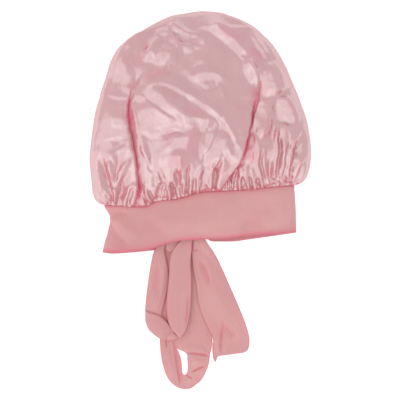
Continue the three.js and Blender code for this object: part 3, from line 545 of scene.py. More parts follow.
KNOT = [
    Row((166.4, 240), (166.2, 249), 6.2, 5.4, 5),
    Row((168.5, 237), (169.5, 252), 6.6, 5.4, 6),
    Row((176, 235), (177, 252), 6.8, 5.4, 6.6),
    Row((188, 235), (189, 250), 6.6, 5.2, 6.6),
    Row((200, 236), (201, 249), 5.6, 5, 6),
    Row((205, 238), (206, 245), 5, 4.6, 5),
]
RIBBON_STEPS = 20
RIBBON_ACROSS = {"upper": 60, "under": 16}
RIBBON_ROUNDING = 3.2

# The sizes of the cloths' patterns in millimetres. Satin's threads lie about 0.2 mm apart and the wales
# of fine jersey 0.8 mm. Both are too fine to show, so they are drawn coarser.
SATIN_DYE = 45.0
SATIN_CRUSH = 17.0
SATIN_PUCKER = 6.0
SATIN_THREADS = 2.0
JERSEY_DYE = 70.0
JERSEY_WALES = 1.2
JERSEY_FUZZ = 1.1

FLOOR_SIZE = 6.0
# The tent's bright side: the way to it, between which cosines of the angle to it the light changes, and how
# bright both sides are.
TENT_TOWARDS = (-0.5, -0.55, 0.67)
TENT_EDGE = (0.52, 0.61)
TENT_LEVEL = {"far": 0.8, "near": 1.2}
SOFTBOX_PLACE = (-0.45, -0.75, 1.3)
SOFTBOX_TARGET = (0, 0.05, 0)
SOFTBOX_SIZE = (1.3, 1.1)
SOFTBOX_POWER = 1.5
CAMERA_LENS = 150.0
SENSOR = 36.0
PHOTO_SIZE = 400
CAMERA_HEIGHT = PHOTO_SIZE * MM_PER_PIXEL * CAMERA_LENS / SENSOR


# Reading the tables

def column(rows, name, at):
    """A table's column at places along it, on a smooth curve through the rows."""
    knots = np.array([row.at for row in rows], float)
    values = np.array([getattr(row, name) for row in rows], float)
    slopes = np.empty_like(values)
    slopes[1:-1] = (values[2:] - values[:-2]) / (knots[2:] - knots[:-2])
    slopes[0] = (values[1] - values[0]) / (knots[1] - knots[0])
    slopes[-1] = (values[-1] - values[-2]) / (knots[-1] - knots[-2])
    i = np.clip(np.searchsorted(knots, at, side="left") - 1, 0, len(knots) - 2)
    span = knots[i + 1] - knots[i]
    t = (at - knots[i]) / span
    return (
        (2 * t**3 - 3 * t**2 + 1) * values[i]
        + (t**3 - 2 * t**2 + t) * span * slopes[i]
        + (3 * t**2 - 2 * t**3) * values[i + 1]
        + (t**3 - t**2) * span * slopes[i + 1]
    )


def curve_through(points, count):
    """Evenly numbered places on a smooth curve through points."""
    points = np.asarray(points, float)
    padded = np.vstack([2 * points[0] - points[1], points, 2 * points[-1] - points[-2]])
    at = np.linspace(0, len(points) - 1, count)
    i = np.minimum(at.astype(int), len(points) - 2)
    t = (at - i)[:, None]
    a, b, c, d = padded[i], padded[i + 1], padded[i + 2], padded[i + 3]
    return 0.5 * (2 * b + (c - a) * t + (2 * a - 5 * b + 4 * c - d) * t**2 + (3 * b - a - 3 * c + d) * t**3)


def from_photo(points):
    """Millimetres in the frame, from photograph pixels."""
    points = np.asarray(points, float)
    return np.stack([points[..., 0] - PHOTO_MIDDLE, PHOTO_MIDDLE - points[..., 1]], -1) * MM_PER_PIXEL


def smooth_step(low, high, x):
    t = np.clip((x - low) / (high - low), 0, 1)
    return t * t * (3 - 2 * t)


# Fields that shape cloth. The noise repeats after so many cells, and is stretched to reach -1 and 1.
NOISE_CELLS = 64
NOISE_GAIN = 1.4
OTHER_SEED = 100
# Dents are bent by a broader noise, and drop steeply from their crests.
DENT_BEND = {"reach": 0.7, "size": 1.9, "shift": 9}
DENT_DROP = 3
DENT_SHARPNESS = 0.9


def lattice_noise(x, y, seed):
    """Soft random swell between -1 and 1, about one bump to a unit."""
    turn = np.random.default_rng(seed).uniform(0, 2 * np.pi, (NOISE_CELLS, NOISE_CELLS))
    xi, yi = np.floor(x).astype(int), np.floor(y).astype(int)
    fx, fy = x - xi, y - yi
    smooth_x, smooth_y = fx**3 * (fx * (fx * 6 - 15) + 10), fy**3 * (fy * (fy * 6 - 15) + 10)

    def slope_from(i, j):
        angle = turn[(xi + i) % NOISE_CELLS, (yi + j) % NOISE_CELLS]
        return np.cos(angle) * (fx - i) + np.sin(angle) * (fy - j)

    near = slope_from(0, 0) * (1 - smooth_x) + slope_from(1, 0) * smooth_x
    far = slope_from(0, 1) * (1 - smooth_x) + slope_from(1, 1) * smooth_x
    return NOISE_GAIN * (near * (1 - smooth_y) + far * smooth_y)


def ripples_at(x, y, ripples, seed=0):
    return sum(r.lift * lattice_noise(x / r.wide + r.shift, y / r.long, seed + r.seed) for r in ripples)


def crushed(x, y, dent):
    """Dents with soft hollows and sharp crests between them, as crushed satin has."""
    reach = DENT_BEND["reach"] * dent.size
    bend = DENT_BEND["size"] * dent.size
    wx = x + reach * lattice_noise(x / bend, y / bend, dent.seed + OTHER_SEED)
    wy = y + reach * lattice_noise(x / bend + DENT_BEND["shift"], y / bend, dent.seed + 2 * OTHER_SEED)
    swell = lattice_noise(wx / dent.size, wy / dent.size, dent.seed)
    return dent.lift * (1 - DENT_DROP * np.abs(swell) ** DENT_SHARPNESS)


# A fold has nearly flat flanks, with a rounded crest and foot, and fades and narrows towards its ends. A
# gather's lower end fades in the seam. Cloth that leans over a fold is pushed most at some millimetres.
CREST = 0.1
FOOT = 0.07
FADE = 0.3
SEAM_END_FADE = 0.06
END_WIDTH = 0.45
FOLD_REACH = 2
LEAN_PEAK = 5
PATH_STEPS = 12
PATH_SMOOTHING = 60
# The painted shade patches fade at their ends, and reach so many widths.
SHADE_PATCH_FADE = 0.25
SHADE_PATCH_REACH = 3
# Crushed cloth bends its folds a little off their paths: the size of the bends and how far, in millimetres.
BENDS = [Dent(13, 1.1, 15), Dent(5.5, 0.4, 16)]
BEND_SHIFT = 7


def near_path(x, y, path, reach):
    """Which places lie near a path, how far along it and to its left they are, and its heading there."""
    path = curve_through(from_photo(path), PATH_STEPS * len(path))
    for _ in range(PATH_SMOOTHING):
        path[1:-1] = (path[:-2] + 2 * path[1:-1] + path[2:]) / 4
    low, high = path.min(0) - reach, path.max(0) + reach
    near = (x > low[0]) & (x < high[0]) & (y > low[1]) & (y < high[1])
    px, py = x[near], y[near]
    k = ((px[:, None] - path[:, 0]) ** 2 + (py[:, None] - path[:, 1]) ** 2).argmin(1)
    heading = np.gradient(path, axis=0)
    heading /= np.linalg.norm(heading, axis=1)[:, None]
    heading = heading[k]
    side = heading[:, 0] * (py - path[k, 1]) - heading[:, 1] * (px - path[k, 0])
    return near, k / (len(path) - 1), side, heading


def folds_at(x, y, folds, end_fade=FADE):
    """How far folds raise the cloth at places seen from above, and how far they push it sideways."""
    lift = np.zeros_like(x)
    push = np.zeros(x.shape + (2,))
    for fold in folds:
        near, along, side, heading = near_path(x, y, fold.path, FOLD_REACH * max(fold.left, fold.right))
        fade = smooth_step(0, FADE, along) * smooth_step(0, end_fade, 1 - along)
        width = (END_WIDTH + (1 - END_WIDTH) * fade) * np.where(side > 0, fold.left, fold.right)
        down = 1 - (np.sqrt((side / width) ** 2 + CREST**2) - CREST)
        lift[near] += fold.lift * fade * (down + np.sqrt(down**2 + FOOT**2)) / 2
        left = np.maximum(side, 0) / LEAN_PEAK
        lean = fold.lean * fade * left * np.exp(1 - left)
        push[near] += lean[:, None] * np.stack([heading[:, 1], -heading[:, 0]], 1)
    return lift, push


def seen_by_camera(points):
    """Where the camera sees each place: cloth that stands nearer to it looks farther out."""
    nearer = CAMERA_HEIGHT / (CAMERA_HEIGHT - points[..., 2])
    return points[..., 0] * nearer, points[..., 1] * nearer


def bent(x, y):
    for b in BENDS:
        x, y = (x + b.lift * lattice_noise(x / b.size, y / b.size, b.seed),
                y + b.lift * lattice_noise(x / b.size + BEND_SHIFT, y / b.size, b.seed + OTHER_SEED))
    return x, y


def shade_patches_at(x, y):
    """How much painted shade the patches give the satin at places seen from above."""
    patch_shade = np.zeros_like(x)
    for each in SHADE_PATCHES:
        near, along, side, _ = near_path(x, y, each.path, SHADE_PATCH_REACH * each.width)
        fade = smooth_step(0, SHADE_PATCH_FADE, along) * smooth_step(0, SHADE_PATCH_FADE, 1 - along)
        patch_shade[near] += each.amount * fade * np.exp(-((side / each.width) ** 2))
    return patch_shade


# The flattened bag that crown and band share

def share_across(u):
    """From -1 at the left fold to 1 at the right fold. u goes over the front to 0.5, and back below."""
    along = np.where(u <= 0.5, 2 * u, 2 - 2 * u)
    return SIDE_CROWDING * -np.cos(np.pi * along) + (1 - SIDE_CROWDING) * (2 * along - 1)


def roundness(share, power):
    return np.maximum(0, 1 - np.abs(share) ** power) ** (1 / power)


def bag(sections, u, at):
    """Places on the flattened bag, at u round it and at from its first section to its last."""
    share = share_across(u)
    side = (share + 1) / 2
    x = (1 - side) * column(sections, "left_x", at) + side * column(sections, "right_x", at)
    y = (1 - side) * column(sections, "left_y", at) + side * column(sections, "right_y", at)
    top, edge = column(sections, "top", at), column(sections, "edge", at)
    above = edge + (top - edge) * roundness(share, DOME_POWER)
    below = edge * np.maximum(0, 1 - UNDERSIDE_PRESS * roundness(share, UNDERSIDE_POWER))
    return np.stack([x, y, np.where(u <= 0.5, above, below)], -1)


def seam_shift(u):
    return np.where(u < 0.5, column(SEAM_WAVE, "shift", share_across(u)), 0)


def mouth_shift(u):
    share = share_across(u)
    x = bag(BAND_SECTIONS, u, np.zeros_like(u))[..., 0]
    off_notch = (x - KNOT_NOTCH["x"]) / KNOT_NOTCH["half_width"]
    notch = KNOT_NOTCH["depth"] * np.exp(-(off_notch ** KNOT_NOTCH["squareness"]))
    below = notch + column(MOUTH_BACK_WAVE, "shift", share)
    return np.where(u <= 0.5, column(MOUTH_WAVE, "shift", share), below)


def crown_base(u, at):
    points = bag(CROWN_SECTIONS, u, at)
    points[..., 1] += seam_shift(u) * (1 - smooth_step(0, SEAM_WAVE_REACH, at))
    return points


def band_base(u, at):
    points = bag(BAND_SECTIONS, u, at)
    points[..., 1] += seam_shift(u) * at**2 + mouth_shift(u) * (1 - at) ** 2
    return points


def outward(surface, u, at):
    """The direction out of the cloth, and the millimetres that one unit of u covers."""
    du, dv = 0.002, 0.003
    across = surface((u + du) % 1, at) - surface((u - du) % 1, at)
    along = surface(u, np.minimum(at + dv, 1)) - surface(u, np.maximum(at - dv, 0))
    normal = np.cross(across, along)
    length = np.linalg.norm(normal, axis=-1, keepdims=True)
    return normal / np.maximum(length, 1e-9), np.linalg.norm(across, axis=-1) / (2 * du)


def around(columns):
    above = np.arange(columns["above"]) / columns["above"] / 2
    below = 0.5 + np.arange(columns["below"]) / columns["below"] / 2
    return np.concatenate([above, below])


# Making meshes

def cloth_mesh(name, vertices, faces, places, depth, material):
    """One smooth mesh in metres. places are the cloth's own coordinates in millimetres, for its weave.
    depth says from 0 to 1 how much painted shade each vertex gets."""
    mesh = bpy.data.meshes.new(name)
    mesh.from_pydata((np.asarray(vertices) * MM).tolist(), [], faces)
    layer = mesh.uv_layers.new(name="cloth")
    corner = np.empty(len(mesh.loops), int)
    mesh.loops.foreach_get("vertex_index", corner)
    layer.data.foreach_set("uv", (np.asarray(places) * MM)[corner].ravel())
    mesh.polygons.foreach_set("use_smooth", [True] * len(mesh.polygons))
    inside = mesh.attributes.new("painted_shade_amount", "FLOAT", "POINT")
    inside.data.foreach_set("value", np.asarray(depth, np.float32))
    mesh.materials.append(material)
    piece = bpy.data.objects.new(name, mesh)
    bpy.context.scene.collection.objects.link(piece)
    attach(piece, "root")
    return piece


def skin(rows, columns, loop_rows=False):
    """Quads over a grid whose rows are closed rings. With loop_rows the last row joins the first."""
    faces = []
    for r in range(rows if loop_rows else rows - 1):
        lower, upper = r * columns, (r + 1) % rows * columns
        for c in range(columns):
            after = (c + 1) % columns
            faces.append((lower + c, lower + after, upper + after, upper + c))
    return faces


def wobble_of(number, wobble):
    return wobble.share * np.sin(wobble.turn * number)


def gather_edges(count):
    """Where each gather ends along the seam, from 0 to 1."""
    steps = 1 + wobble_of(np.arange(count), WIDTH_WOBBLES[0]) + wobble_of(np.arange(count), WIDTH_WOBBLES[1])
    return np.concatenate([[0], np.cumsum(steps)]) / steps.sum()


def gathers_at(u, at, side):
    """Puffs and valleys that the gathering stitches throw up."""
    edges = gather_edges(GATHERS[side])
    along = np.clip(2 * u if side == "above" else 2 * u - 1, 0, JUST_UNDER_ONE)
    i = np.searchsorted(edges, along, side="right") - 1
    t = (along - edges[i]) / (edges[i + 1] - edges[i])
    strength = GATHER_STRENGTH + wobble_of(i, STRENGTH_WOBBLE)
    x = at / (GATHER_PEAK_AT[side] * (1 + wobble_of(i, PEAK_WOBBLE)))
    return GATHER_DEPTH[side] * strength * x * np.exp(1 - x) * (2 * np.sin(np.pi * t) ** GATHER_PUFF - 1)


def darts_at(u, at, per_unit, rng):
    """Small folds that run up the underside from the seam, narrow at the stitches and wider as they open."""
    edges = gather_edges(GATHERS["below"])
    width = DART_WIDTH["seam"] + (DART_WIDTH["end"] - DART_WIDTH["seam"]) * np.clip(at / DART_OPEN_AT, 0, 1)
    sink = np.zeros_like(u)
    for k in range(1, DARTS):
        reach = rng.uniform(*DART_REACH[DART_KINDS[k % len(DART_KINDS)]])
        depth = rng.uniform(*DART_DEPTH)
        lean = rng.uniform(-DART_LEAN, DART_LEAN)
        middle = 0.5 + 0.5 * edges[k] + lean * at
        off_valley = np.abs(u - middle) * per_unit / width
        fade = np.clip(1 - at / reach, 0, 1) * smooth_step(*DART_START, at)
        sink -= depth * fade * np.exp(DART_VALLEY["rise"] - np.sqrt(off_valley**2 + DART_VALLEY["rounding"]))
    return sink


def painted_shade_in(sunk, painted_shade):
    return painted_shade.most * smooth_step(painted_shade.start, painted_shade.whole, sunk)


def satin_relief(u, at, base, per_unit):
    """How far the satin stands off the bag, how far its folds push it sideways, and how much painted shade
    it gets.
    """
    x, y = base[..., 0], base[..., 1]
    front = u < 0.5
    across = np.abs(share_across(u))
    sides = np.where(front, 1 - smooth_step(*FOLDS_SIDE, across), 0)
    below = gathers_at(u, at, "below") + darts_at(u, at, per_unit, np.random.default_rng(DART_SEED))
    gathers = np.where(front, gathers_at(u, at, "above"), below)
    gathers *= np.where(front, 1, 1 - smooth_step(*PRESSED_FLAT, at))

    seen = seen_by_camera(base)
    seen_bent = bent(*seen)
    lift, push = folds_at(*seen_bent, CROWN_FOLDS)
    pleats, _ = folds_at(*seen_bent, [fold for fold in CROWN_FOLDS if "pleat" in fold.name])
    seam_lift, _ = folds_at(*seen_bent, SEAM_FOLDS, SEAM_END_FADE)
    strength = sides * smooth_step(*FOLDS_START, at) * (1 - smooth_step(*FOLDS_END, at))
    ground = (1 - smooth_step(*GROUND_SIDE, across)) * smooth_step(*GROUND_START, at)
    ground *= (1 - smooth_step(*GROUND_END, at)) * front

    slack = ripples_at(x, y, SATIN_RIPPLES) + sum(crushed(x, y, dent) for dent in DENTS)
    calm = smooth_step(*SLACK_START, at) * (1 - smooth_step(*SLACK_END, at))
    calm *= np.where(front, SLACK_SHARE["side"] + SLACK_SHARE["middle"] * sides, SLACK_SHARE["below"])

    height = gathers + lift * strength - FOLDS_SINK * ground
    height += seam_lift * sides * smooth_step(*SEAM_FOLDS_START, at) + slack * calm
    height -= SATIN_SINK * (1 - smooth_step(*SINK_END, at))
    # Painted shade in the pleats, the seam's folds, the shade patches and the gathers' valleys.
    depth = (painted_shade_in(-pleats, PLEAT_PAINTED_SHADE) + painted_shade_in(-seam_lift, SEAM_PAINTED_SHADE)) * sides
    depth += shade_patches_at(*seen) * front + np.clip(-gathers * GATHER_PAINTED_SHADE["per_mm"], 0, GATHER_PAINTED_SHADE["most"])
    return height, push * strength[..., None], np.clip(depth, 0, 1)


def make_crown(material):
    u_line = around(CROWN_COLUMNS)
    at_line = np.linspace(0, 1, CROWN_ROWS + 1)[:-1] ** ROW_CROWDING
    at, u = np.meshgrid(at_line, u_line, indexing="ij")
    base = crown_base(u, at)
    normal, per_unit = outward(crown_base, u, at)
    height, push, depth = satin_relief(u, at, base, per_unit)
    points = base + normal * height[..., None]
    points[..., :2] += push
    points[..., 2] = np.maximum(points[..., 2], CLOTH_LOWEST)
    # The first row is tucked into the band's seam.
    tucked = points[0] - normal[0] * SEAM_TUCK
    tucked[:, 1] -= SEAM_TUCK
    tucked[:, 2] = np.maximum(tucked[:, 2], CLOTH_LOWEST)
    points = np.concatenate([tucked[None], points])
    depth = np.concatenate([depth[:1], depth])
    rows, columns = points.shape[:2]
    tip = bag(CROWN_SECTIONS, np.array([0.25]), np.array([1.0]))[0]
    vertices = np.vstack([points.reshape(-1, 3), tip])
    faces = skin(rows, columns)
    last = (rows - 1) * columns
    faces += [(last + c, last + (c + 1) % columns, rows * columns) for c in range(columns)]
    round_it, along_it = CLOTH_SIZE["crown"]
    cloth_at = np.append(TUCKED_AT, at_line)[:, None] * along_it
    places = np.stack(np.broadcast_arrays(u_line * round_it, cloth_at), -1)
    places = np.vstack([places.reshape(-1, 2), [round_it / 4, along_it]])
    depth = np.append(depth.ravel(), 0)
    piece = cloth_mesh("crown_satin", vertices, faces, places, depth, material)
    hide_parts("crown")
    return piece


def band_shade_amount(at, deep):
    """Painted shade on the band: the mouth's edge and the stitched edge, where the knit is folded, are mixed
    pinker, and the inner layer by a set amount.
    """
    if deep >= BAND_THICK / 2:
        return BAND_PAINTED_SHADE["inside"]
    return max(math.exp(-at * BAND_PAINTED_SHADE["mouth_fade"]),
               BAND_PAINTED_SHADE["stitched"] * math.exp(-(1 - at) * BAND_PAINTED_SHADE["stitched_fade"]))


def make_band(material):
    u_line = around(BAND_COLUMNS)
    outer = np.linspace(1, 0, BAND_PROFILE["outer"])
    inner = np.linspace(0, 1, BAND_PROFILE["inner"])
    turn = np.linspace(0, math.pi, BAND_PROFILE["rim"] + 2)[1:-1]
    radius = BAND_THICK / 2
    # Each step round the wall: the place along the band, how deep in the wall, how far past its edge.
    steps = [(at, 0, 0) for at in outer]
    steps += [(0, radius * (1 - math.cos(a)), -radius * math.sin(a)) for a in turn]
    steps += [(at, BAND_THICK, 0) for at in inner]
    steps += [(1, radius * (1 + math.cos(a)), radius * math.sin(a)) for a in turn]
    round_it, along_it = CLOTH_SIZE["band"]
    rings = []
    places = []
    shade_amounts = []
    for at, deep, past in steps:
        where = np.full_like(u_line, at)
        base = band_base(u_line, where)
        normal, _ = outward(band_base, u_line, where)
        lift, _ = folds_at(base[:, 0], base[:, 1], BAND_CREASES)
        swell = ripples_at(base[:, 0], base[:, 1], BAND_RIPPLES)
        shaped = np.where(u_line < 0.5, lift + swell, BAND_BELOW["swell"] * swell)
        ring = base + normal * (shaped - deep)[:, None]
        ring[:, 1] += past
        lowest = CLOTH_LOWEST + (0 if deep < radius else BAND_THICK * BAND_BELOW["layer"])
        ring[:, 2] = np.maximum(ring[:, 2], lowest)
        rings.append(ring)
        places.append(np.stack([u_line * round_it, where * along_it + deep], -1))
        # Painted shade on the band's folded edges, inner layer and creases.
        shade_amounts.append(np.clip(band_shade_amount(at, deep) - CREASE_PAINTED_SHADE["band"] * lift, 0, 1))
    faces = [face[::-1] for face in skin(len(steps), len(u_line), loop_rows=True)]
    piece = cloth_mesh("band_jersey", np.concatenate(rings), faces, np.concatenate(places),
                       np.concatenate(shade_amounts), material)
    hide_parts("band")
    return piece


def ribbon(name, rows, material, seed):
    """A strip of doubled jersey between two edges, with soft edges and its creases."""
    count = (len(rows) - 1) * RIBBON_STEPS + 1
    flat = [curve_through(from_photo([getattr(r, key) for r in rows]), count) for key in ("left", "right")]
    left_z, right_z, thick = (
        curve_through([[getattr(r, key)] for r in rows], count) for key in ("left_z", "right_z", "thick")
    )
    left = np.hstack([flat[0], left_z])
    right = np.hstack([flat[1], right_z])
    middle = (left + right) / 2
    ahead = np.gradient(middle, axis=0)
    ahead /= np.linalg.norm(ahead, axis=1)[:, None]
    sideways = right - left
    wide = np.linalg.norm(sideways, axis=1)[:, None]
    up = np.cross(ahead, sideways / wide)
    up /= np.linalg.norm(up, axis=1)[:, None]
    travelled = np.append(0, np.cumsum(np.linalg.norm(np.diff(middle, axis=0), axis=1)))[:, None]
    turn = np.linspace(-1, 1, RIBBON_ACROSS["upper"])
    over = 0.5 * (turn + np.sin(np.pi / 2 * turn))
    under = np.cos(np.linspace(0, np.pi, RIBBON_ACROSS["under"] + 2))[1:-1]
    across = np.concatenate([over, under])
    upper = np.concatenate([np.ones_like(over), -np.ones_like(under)])
    bulge = roundness(across, RIBBON_ROUNDING)
    points = (
        middle[:, None]
        + sideways[:, None] / 2 * across[None, :, None]
        + up[:, None] * (upper * bulge)[None, :, None] * thick[:, None] / 2
    )
    lift, _ = folds_at(points[..., 0], points[..., 1], TIE_CREASES)
    swell = ripples_at(across * wide, travelled, TIE_RIPPLES, seed)
    points[..., 2] += (lift + swell) * np.where(up[:, 2:] * upper > 0, bulge, 0)
    points[..., 2] = np.maximum(points[..., 2], CLOTH_LOWEST)
    rings, columns = points.shape[:2]
    faces = [face[::-1] for face in skin(rings, columns)]
    faces.append(tuple(range(columns)))
    faces.append(tuple(reversed(range((rings - 1) * columns, rings * columns))))
    places = np.stack(np.broadcast_arrays(across * wide / 2, travelled), -1)
    # Painted shade at the strip's edges and in its creases.
    edge = np.clip(1 - (1 - np.abs(across)) * wide / 2 / TIE_EDGE["width"], 0, 1)
    depth = np.clip(TIE_EDGE["painted_shade"] * edge - CREASE_PAINTED_SHADE["tie"] * np.minimum(lift, 0), 0, 1)
    vertices = points.reshape(-1, 3)
    return cloth_mesh(name, vertices, faces, places.reshape(-1, 2), depth.ravel(), material)


def make_ties(material):
    left_strand = ribbon("loop_left_strand", LEFT_STRAND, material, 51)
    left_pad = ribbon("loop_left_turn", LEFT_PAD, material, 53)
    lining = ribbon("loop_left_inside", LEFT_LINING, material, 65)
    centre = ribbon("loop_centre", CENTRE_STRAND, material, 55)
    long_tail = ribbon("tail_long_bight", LONG_TAIL, material, 57)
    wide_tail = ribbon("tail_wide_end", WIDE_TAIL, material, 59)
    corner = ribbon("tail_wide_corner", TAIL_CORNER, material, 61)
    knot = ribbon("knot", KNOT, material, 63)
    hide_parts("bow_loop_left")
    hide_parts("bow_loop_centre")
    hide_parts("tail_long")
    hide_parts("tail_wide")
    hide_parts("bow_knot")


# Materials

def colour(hex_code):
    """Linear colour from an sRGB hex value."""
    channels = [int(hex_code[i : i + 2], 16) / 255 for i in (1, 3, 5)]
    return [c / 12.92 if c <= 0.04045 else ((c + 0.055) / 1.055) ** 2.4 for c in channels] + [1.0]


def add_node(tree, kind, inputs=None, **settings):
    """One node with its settings. An input is a value, or the socket that feeds it."""
    node = tree.nodes.new(kind)
    for key, value in settings.items():
        setattr(node, key, value)
    for key, value in (inputs or {}).items():
        if isinstance(value, bpy.types.NodeSocket):
            tree.links.new(value, node.inputs[key])
        else:
            node.inputs[key].default_value = value
    return node


def new_material(name):
    material = bpy.data.materials.new(name)
    material.use_nodes = True
    tree = material.node_tree
    tree.nodes.clear()
    return material, tree


def noise_scale(size):
    """The scale at which a noise texture's features are so many millimetres across."""
    return 1 / (size * MM)


def wave_scale(spacing):
    """The scale at which a wave texture's bands are so many millimetres apart."""
    return math.pi / 10 / (spacing * MM)


def polyester_satin():
    """Woven polyester satin: long floating threads give broad silky highlights, and its folds get painted
    shade in a deeper pink.
    """
    material, tree = new_material("polyester_satin")
    place = add_node(tree, "ShaderNodeTexCoord")
    tint = add_node(tree, "ShaderNodeTexNoise",
                    {"Vector": place.outputs["Object"], "Scale": noise_scale(SATIN_DYE), "Detail": 3})
    shade = add_node(tree, "ShaderNodeValToRGB", {"Fac": tint.outputs["Fac"]})
    shade.color_ramp.elements[0].position = 0.35
    shade.color_ramp.elements[0].color = colour("#D77C84")
    shade.color_ramp.elements[1].position = 0.65
    shade.color_ramp.elements[1].color = colour("#DB828A")
    # Painted shade: deep in folds, between close layers and in the gathers the colour is mixed towards a
    # deeper pink, standing in for light that bounces about there.
    inside = add_node(tree, "ShaderNodeAttribute", attribute_name="painted_shade_amount")
    painted_shade = add_node(tree, "ShaderNodeMix", {"Factor": inside.outputs["Fac"], "A": shade.outputs["Color"],
                                            "B": colour("#E06E88")}, data_type="RGBA")
    crush = add_node(tree, "ShaderNodeTexNoise",
                     {"Vector": place.outputs["Object"], "Scale": noise_scale(SATIN_CRUSH), "Detail": 4,
                      "Distortion": 0.8})
    crushed_bump = add_node(tree, "ShaderNodeBump",
                            {"Height": crush.outputs["Fac"], "Strength": 0.25, "Distance": 0.0015})
    pucker = add_node(tree, "ShaderNodeTexNoise",
                      {"Vector": place.outputs["Object"], "Scale": noise_scale(SATIN_PUCKER), "Detail": 2,
                       "Distortion": 0.5})
    pucker_bump = add_node(tree, "ShaderNodeBump",
                           {"Height": pucker.outputs["Fac"], "Strength": 0.35, "Distance": 0.0006,
                            "Normal": crushed_bump.outputs["Normal"]})
    weave = add_node(tree, "ShaderNodeTexWave",
                     {"Vector": place.outputs["UV"], "Scale": wave_scale(SATIN_THREADS), "Distortion": 1.2},
                     wave_type="BANDS", bands_direction="X")
    bump = add_node(tree, "ShaderNodeBump",
                    {"Height": weave.outputs["Fac"], "Strength": 0.08, "Distance": 0.0002,
                     "Normal": pucker_bump.outputs["Normal"]})
    grain = add_node(tree, "ShaderNodeTangent", direction_type="UV_MAP", uv_map="cloth")
    shader = add_node(tree, "ShaderNodeBsdfPrincipled", {
        "Roughness": 0.45, "IOR": 1.53, "Specular IOR Level": 0.4, "Base Color": painted_shade.outputs["Result"],
        "Subsurface Weight": 0.25, "Subsurface Radius": (1.0, 0.25, 0.35), "Subsurface Scale": 0.004,
        "Normal": bump.outputs["Normal"],
    })
    threads = add_node(tree, "ShaderNodeBsdfAnisotropic", {
        "Color": colour("#DAE6E4"), "Roughness": 0.15, "Anisotropy": 0.5,
        "Normal": bump.outputs["Normal"], "Tangent": grain.outputs["Tangent"],
    })
    # Seen edge on, the threads hide each other and their gloss goes.
    tilt = add_node(tree, "ShaderNodeLayerWeight", {"Blend": 0.5})
    gloss = add_node(tree, "ShaderNodeMapRange", {
        "Value": tilt.outputs["Facing"], "From Min": 0.3, "From Max": 0.8, "To Min": 0.4, "To Max": 0.26,
    })
    # Painted shade: the threads' gloss is cut where the painted shade is strong.
    shaded_gloss = add_node(tree, "ShaderNodeMapRange",
                       {"Value": inside.outputs["Fac"], "To Min": 1.0, "To Max": 0.45})
    share = add_node(tree, "ShaderNodeMath", {0: gloss.outputs["Result"], 1: shaded_gloss.outputs["Result"]},
                     operation="MULTIPLY")
    both = add_node(tree, "ShaderNodeMixShader", {"Fac": share.outputs["Value"]})
    tree.links.new(shader.outputs["BSDF"], both.inputs[1])
    tree.links.new(threads.outputs["BSDF"], both.inputs[2])
    add_node(tree, "ShaderNodeOutputMaterial", {"Surface": both.outputs["Shader"]})
    return material


def cotton_jersey():
    """Knitted cotton jersey: matt, with a slight fuzz and fine upright wales."""
    material, tree = new_material("cotton_jersey")
    place = add_node(tree, "ShaderNodeTexCoord")
    tint = add_node(tree, "ShaderNodeTexNoise",
                    {"Vector": place.outputs["Object"], "Scale": noise_scale(JERSEY_DYE), "Detail": 4})
    shade = add_node(tree, "ShaderNodeValToRGB", {"Fac": tint.outputs["Fac"]})
    shade.color_ramp.elements[0].position = 0.38
    shade.color_ramp.elements[0].color = colour("#D49D9E")
    shade.color_ramp.elements[1].position = 0.62
    shade.color_ramp.elements[1].color = colour("#D9A4A4")
    # Painted shade: the folded edges, the creases and the band's inner layer are mixed towards a deeper
    # pink.
    inside = add_node(tree, "ShaderNodeAttribute", attribute_name="painted_shade_amount")
    painted_edge_shade = add_node(tree, "ShaderNodeMix", {"Factor": inside.outputs["Fac"], "A": shade.outputs["Color"],
                                            "B": colour("#D47C8A")}, data_type="RGBA")
    wales = add_node(tree, "ShaderNodeTexWave",
                     {"Vector": place.outputs["UV"], "Scale": wave_scale(JERSEY_WALES), "Distortion": 0.8},
                     wave_type="BANDS", bands_direction="X")
    knit = add_node(tree, "ShaderNodeBump",
                    {"Height": wales.outputs["Fac"], "Strength": 0.12, "Distance": 0.0004})
    fuzz = add_node(tree, "ShaderNodeTexNoise",
                    {"Vector": place.outputs["Object"], "Scale": noise_scale(JERSEY_FUZZ), "Detail": 2})
    bump = add_node(tree, "ShaderNodeBump",
                    {"Height": fuzz.outputs["Fac"], "Strength": 0.2, "Distance": 0.0004,
                     "Normal": knit.outputs["Normal"]})
    shader = add_node(tree, "ShaderNodeBsdfPrincipled", {
        "Base Color": painted_edge_shade.outputs["Result"], "Roughness": 0.9, "IOR": 1.46, "Specular IOR Level": 0.25,
        "Subsurface Weight": 0.25, "Subsurface Radius": (1.0, 0.35, 0.4), "Subsurface Scale": 0.004,
        "Sheen Weight": 0.35, "Sheen Roughness": 0.5, "Sheen Tint": colour("#F0A0B0"),
        "Normal": bump.outputs["Normal"],
    })
    add_node(tree, "ShaderNodeOutputMaterial", {"Surface": shader.outputs["BSDF"]})
    return material


def lit_acrylic():
    """White acrylic lit from below: an even white that takes no shadow from what lies on it."""
    material, tree = new_material("lit_acrylic")
    shader = add_node(tree, "ShaderNodeBsdfPrincipled", {
        "Base Color": colour("#B4B4B4"), "Roughness": 0.6, "Specular IOR Level": 0.1,
        "Emission Color": colour("#FFFFFF"), "Emission Strength": 0.75,
    })
    add_node(tree, "ShaderNodeOutputMaterial", {"Surface": shader.outputs["BSDF"]})
    return material


# The surface, the light and the camera

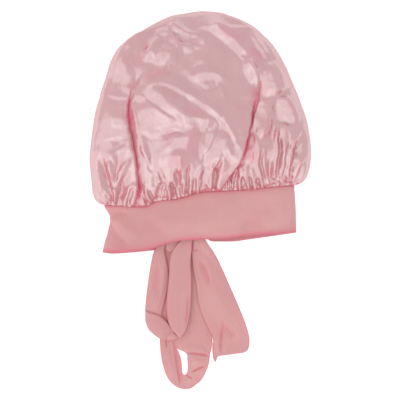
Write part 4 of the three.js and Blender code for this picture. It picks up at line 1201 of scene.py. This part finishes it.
def make_stage():
    half = FLOOR_SIZE / 2
    corners = [(-half, -half, 0), (half, -half, 0), (half, half, 0), (-half, half, 0)]
    mesh = bpy.data.meshes.new("floor")
    mesh.from_pydata(corners, [], [(0, 1, 2, 3)])
    mesh.materials.append(lit_acrylic())
    floor = bpy.data.objects.new("floor", mesh)
    bpy.context.scene.collection.objects.link(floor)


def make_softbox():
    """A softbox on the tent's bright side."""
    data = bpy.data.lights.new("key softbox", "AREA")
    data.shape = "RECTANGLE"
    data.size, data.size_y = SOFTBOX_SIZE
    data.energy = SOFTBOX_POWER
    light = bpy.data.objects.new("key softbox", data)
    bpy.context.scene.collection.objects.link(light)
    light.visible_camera = False
    light.location = SOFTBOX_PLACE
    direction = light.location - Vector(SOFTBOX_TARGET)
    light.rotation_euler = direction.to_track_quat("Z", "Y").to_euler()


def make_tent():
    """A white tent round the table, brighter towards the lower left."""
    world = bpy.data.worlds.new("studio")
    world.use_nodes = True
    tree = world.node_tree
    place = add_node(tree, "ShaderNodeTexCoord")
    aside = add_node(tree, "ShaderNodeVectorMath", {0: place.outputs["Generated"], 1: TENT_TOWARDS},
                     operation="DOT_PRODUCT")
    level = add_node(tree, "ShaderNodeMapRange", {
        "Value": aside.outputs["Value"], "From Min": TENT_EDGE[0], "From Max": TENT_EDGE[1],
        "To Min": TENT_LEVEL["far"], "To Max": TENT_LEVEL["near"],
    }, interpolation_type="SMOOTHSTEP")
    background = tree.nodes["Background"]
    background.inputs["Color"].default_value = colour("#FFFFFF")
    tree.links.new(level.outputs["Result"], background.inputs["Strength"])
    bpy.context.scene.world = world
    bpy.context.scene.view_settings.view_transform = "Standard"


def make_camera():
    data = bpy.data.cameras.new("camera")
    data.sensor_width = SENSOR
    data.lens = CAMERA_LENS
    camera = bpy.data.objects.new("camera", data)
    camera.location = (0, 0, CAMERA_HEIGHT * MM)
    bpy.context.scene.collection.objects.link(camera)
    bpy.context.scene.camera = camera


make_camera()
make_stage()
make_tent()
make_softbox()
jersey = cotton_jersey()
make_crown(polyester_satin())
make_band(jersey)
make_ties(jersey)
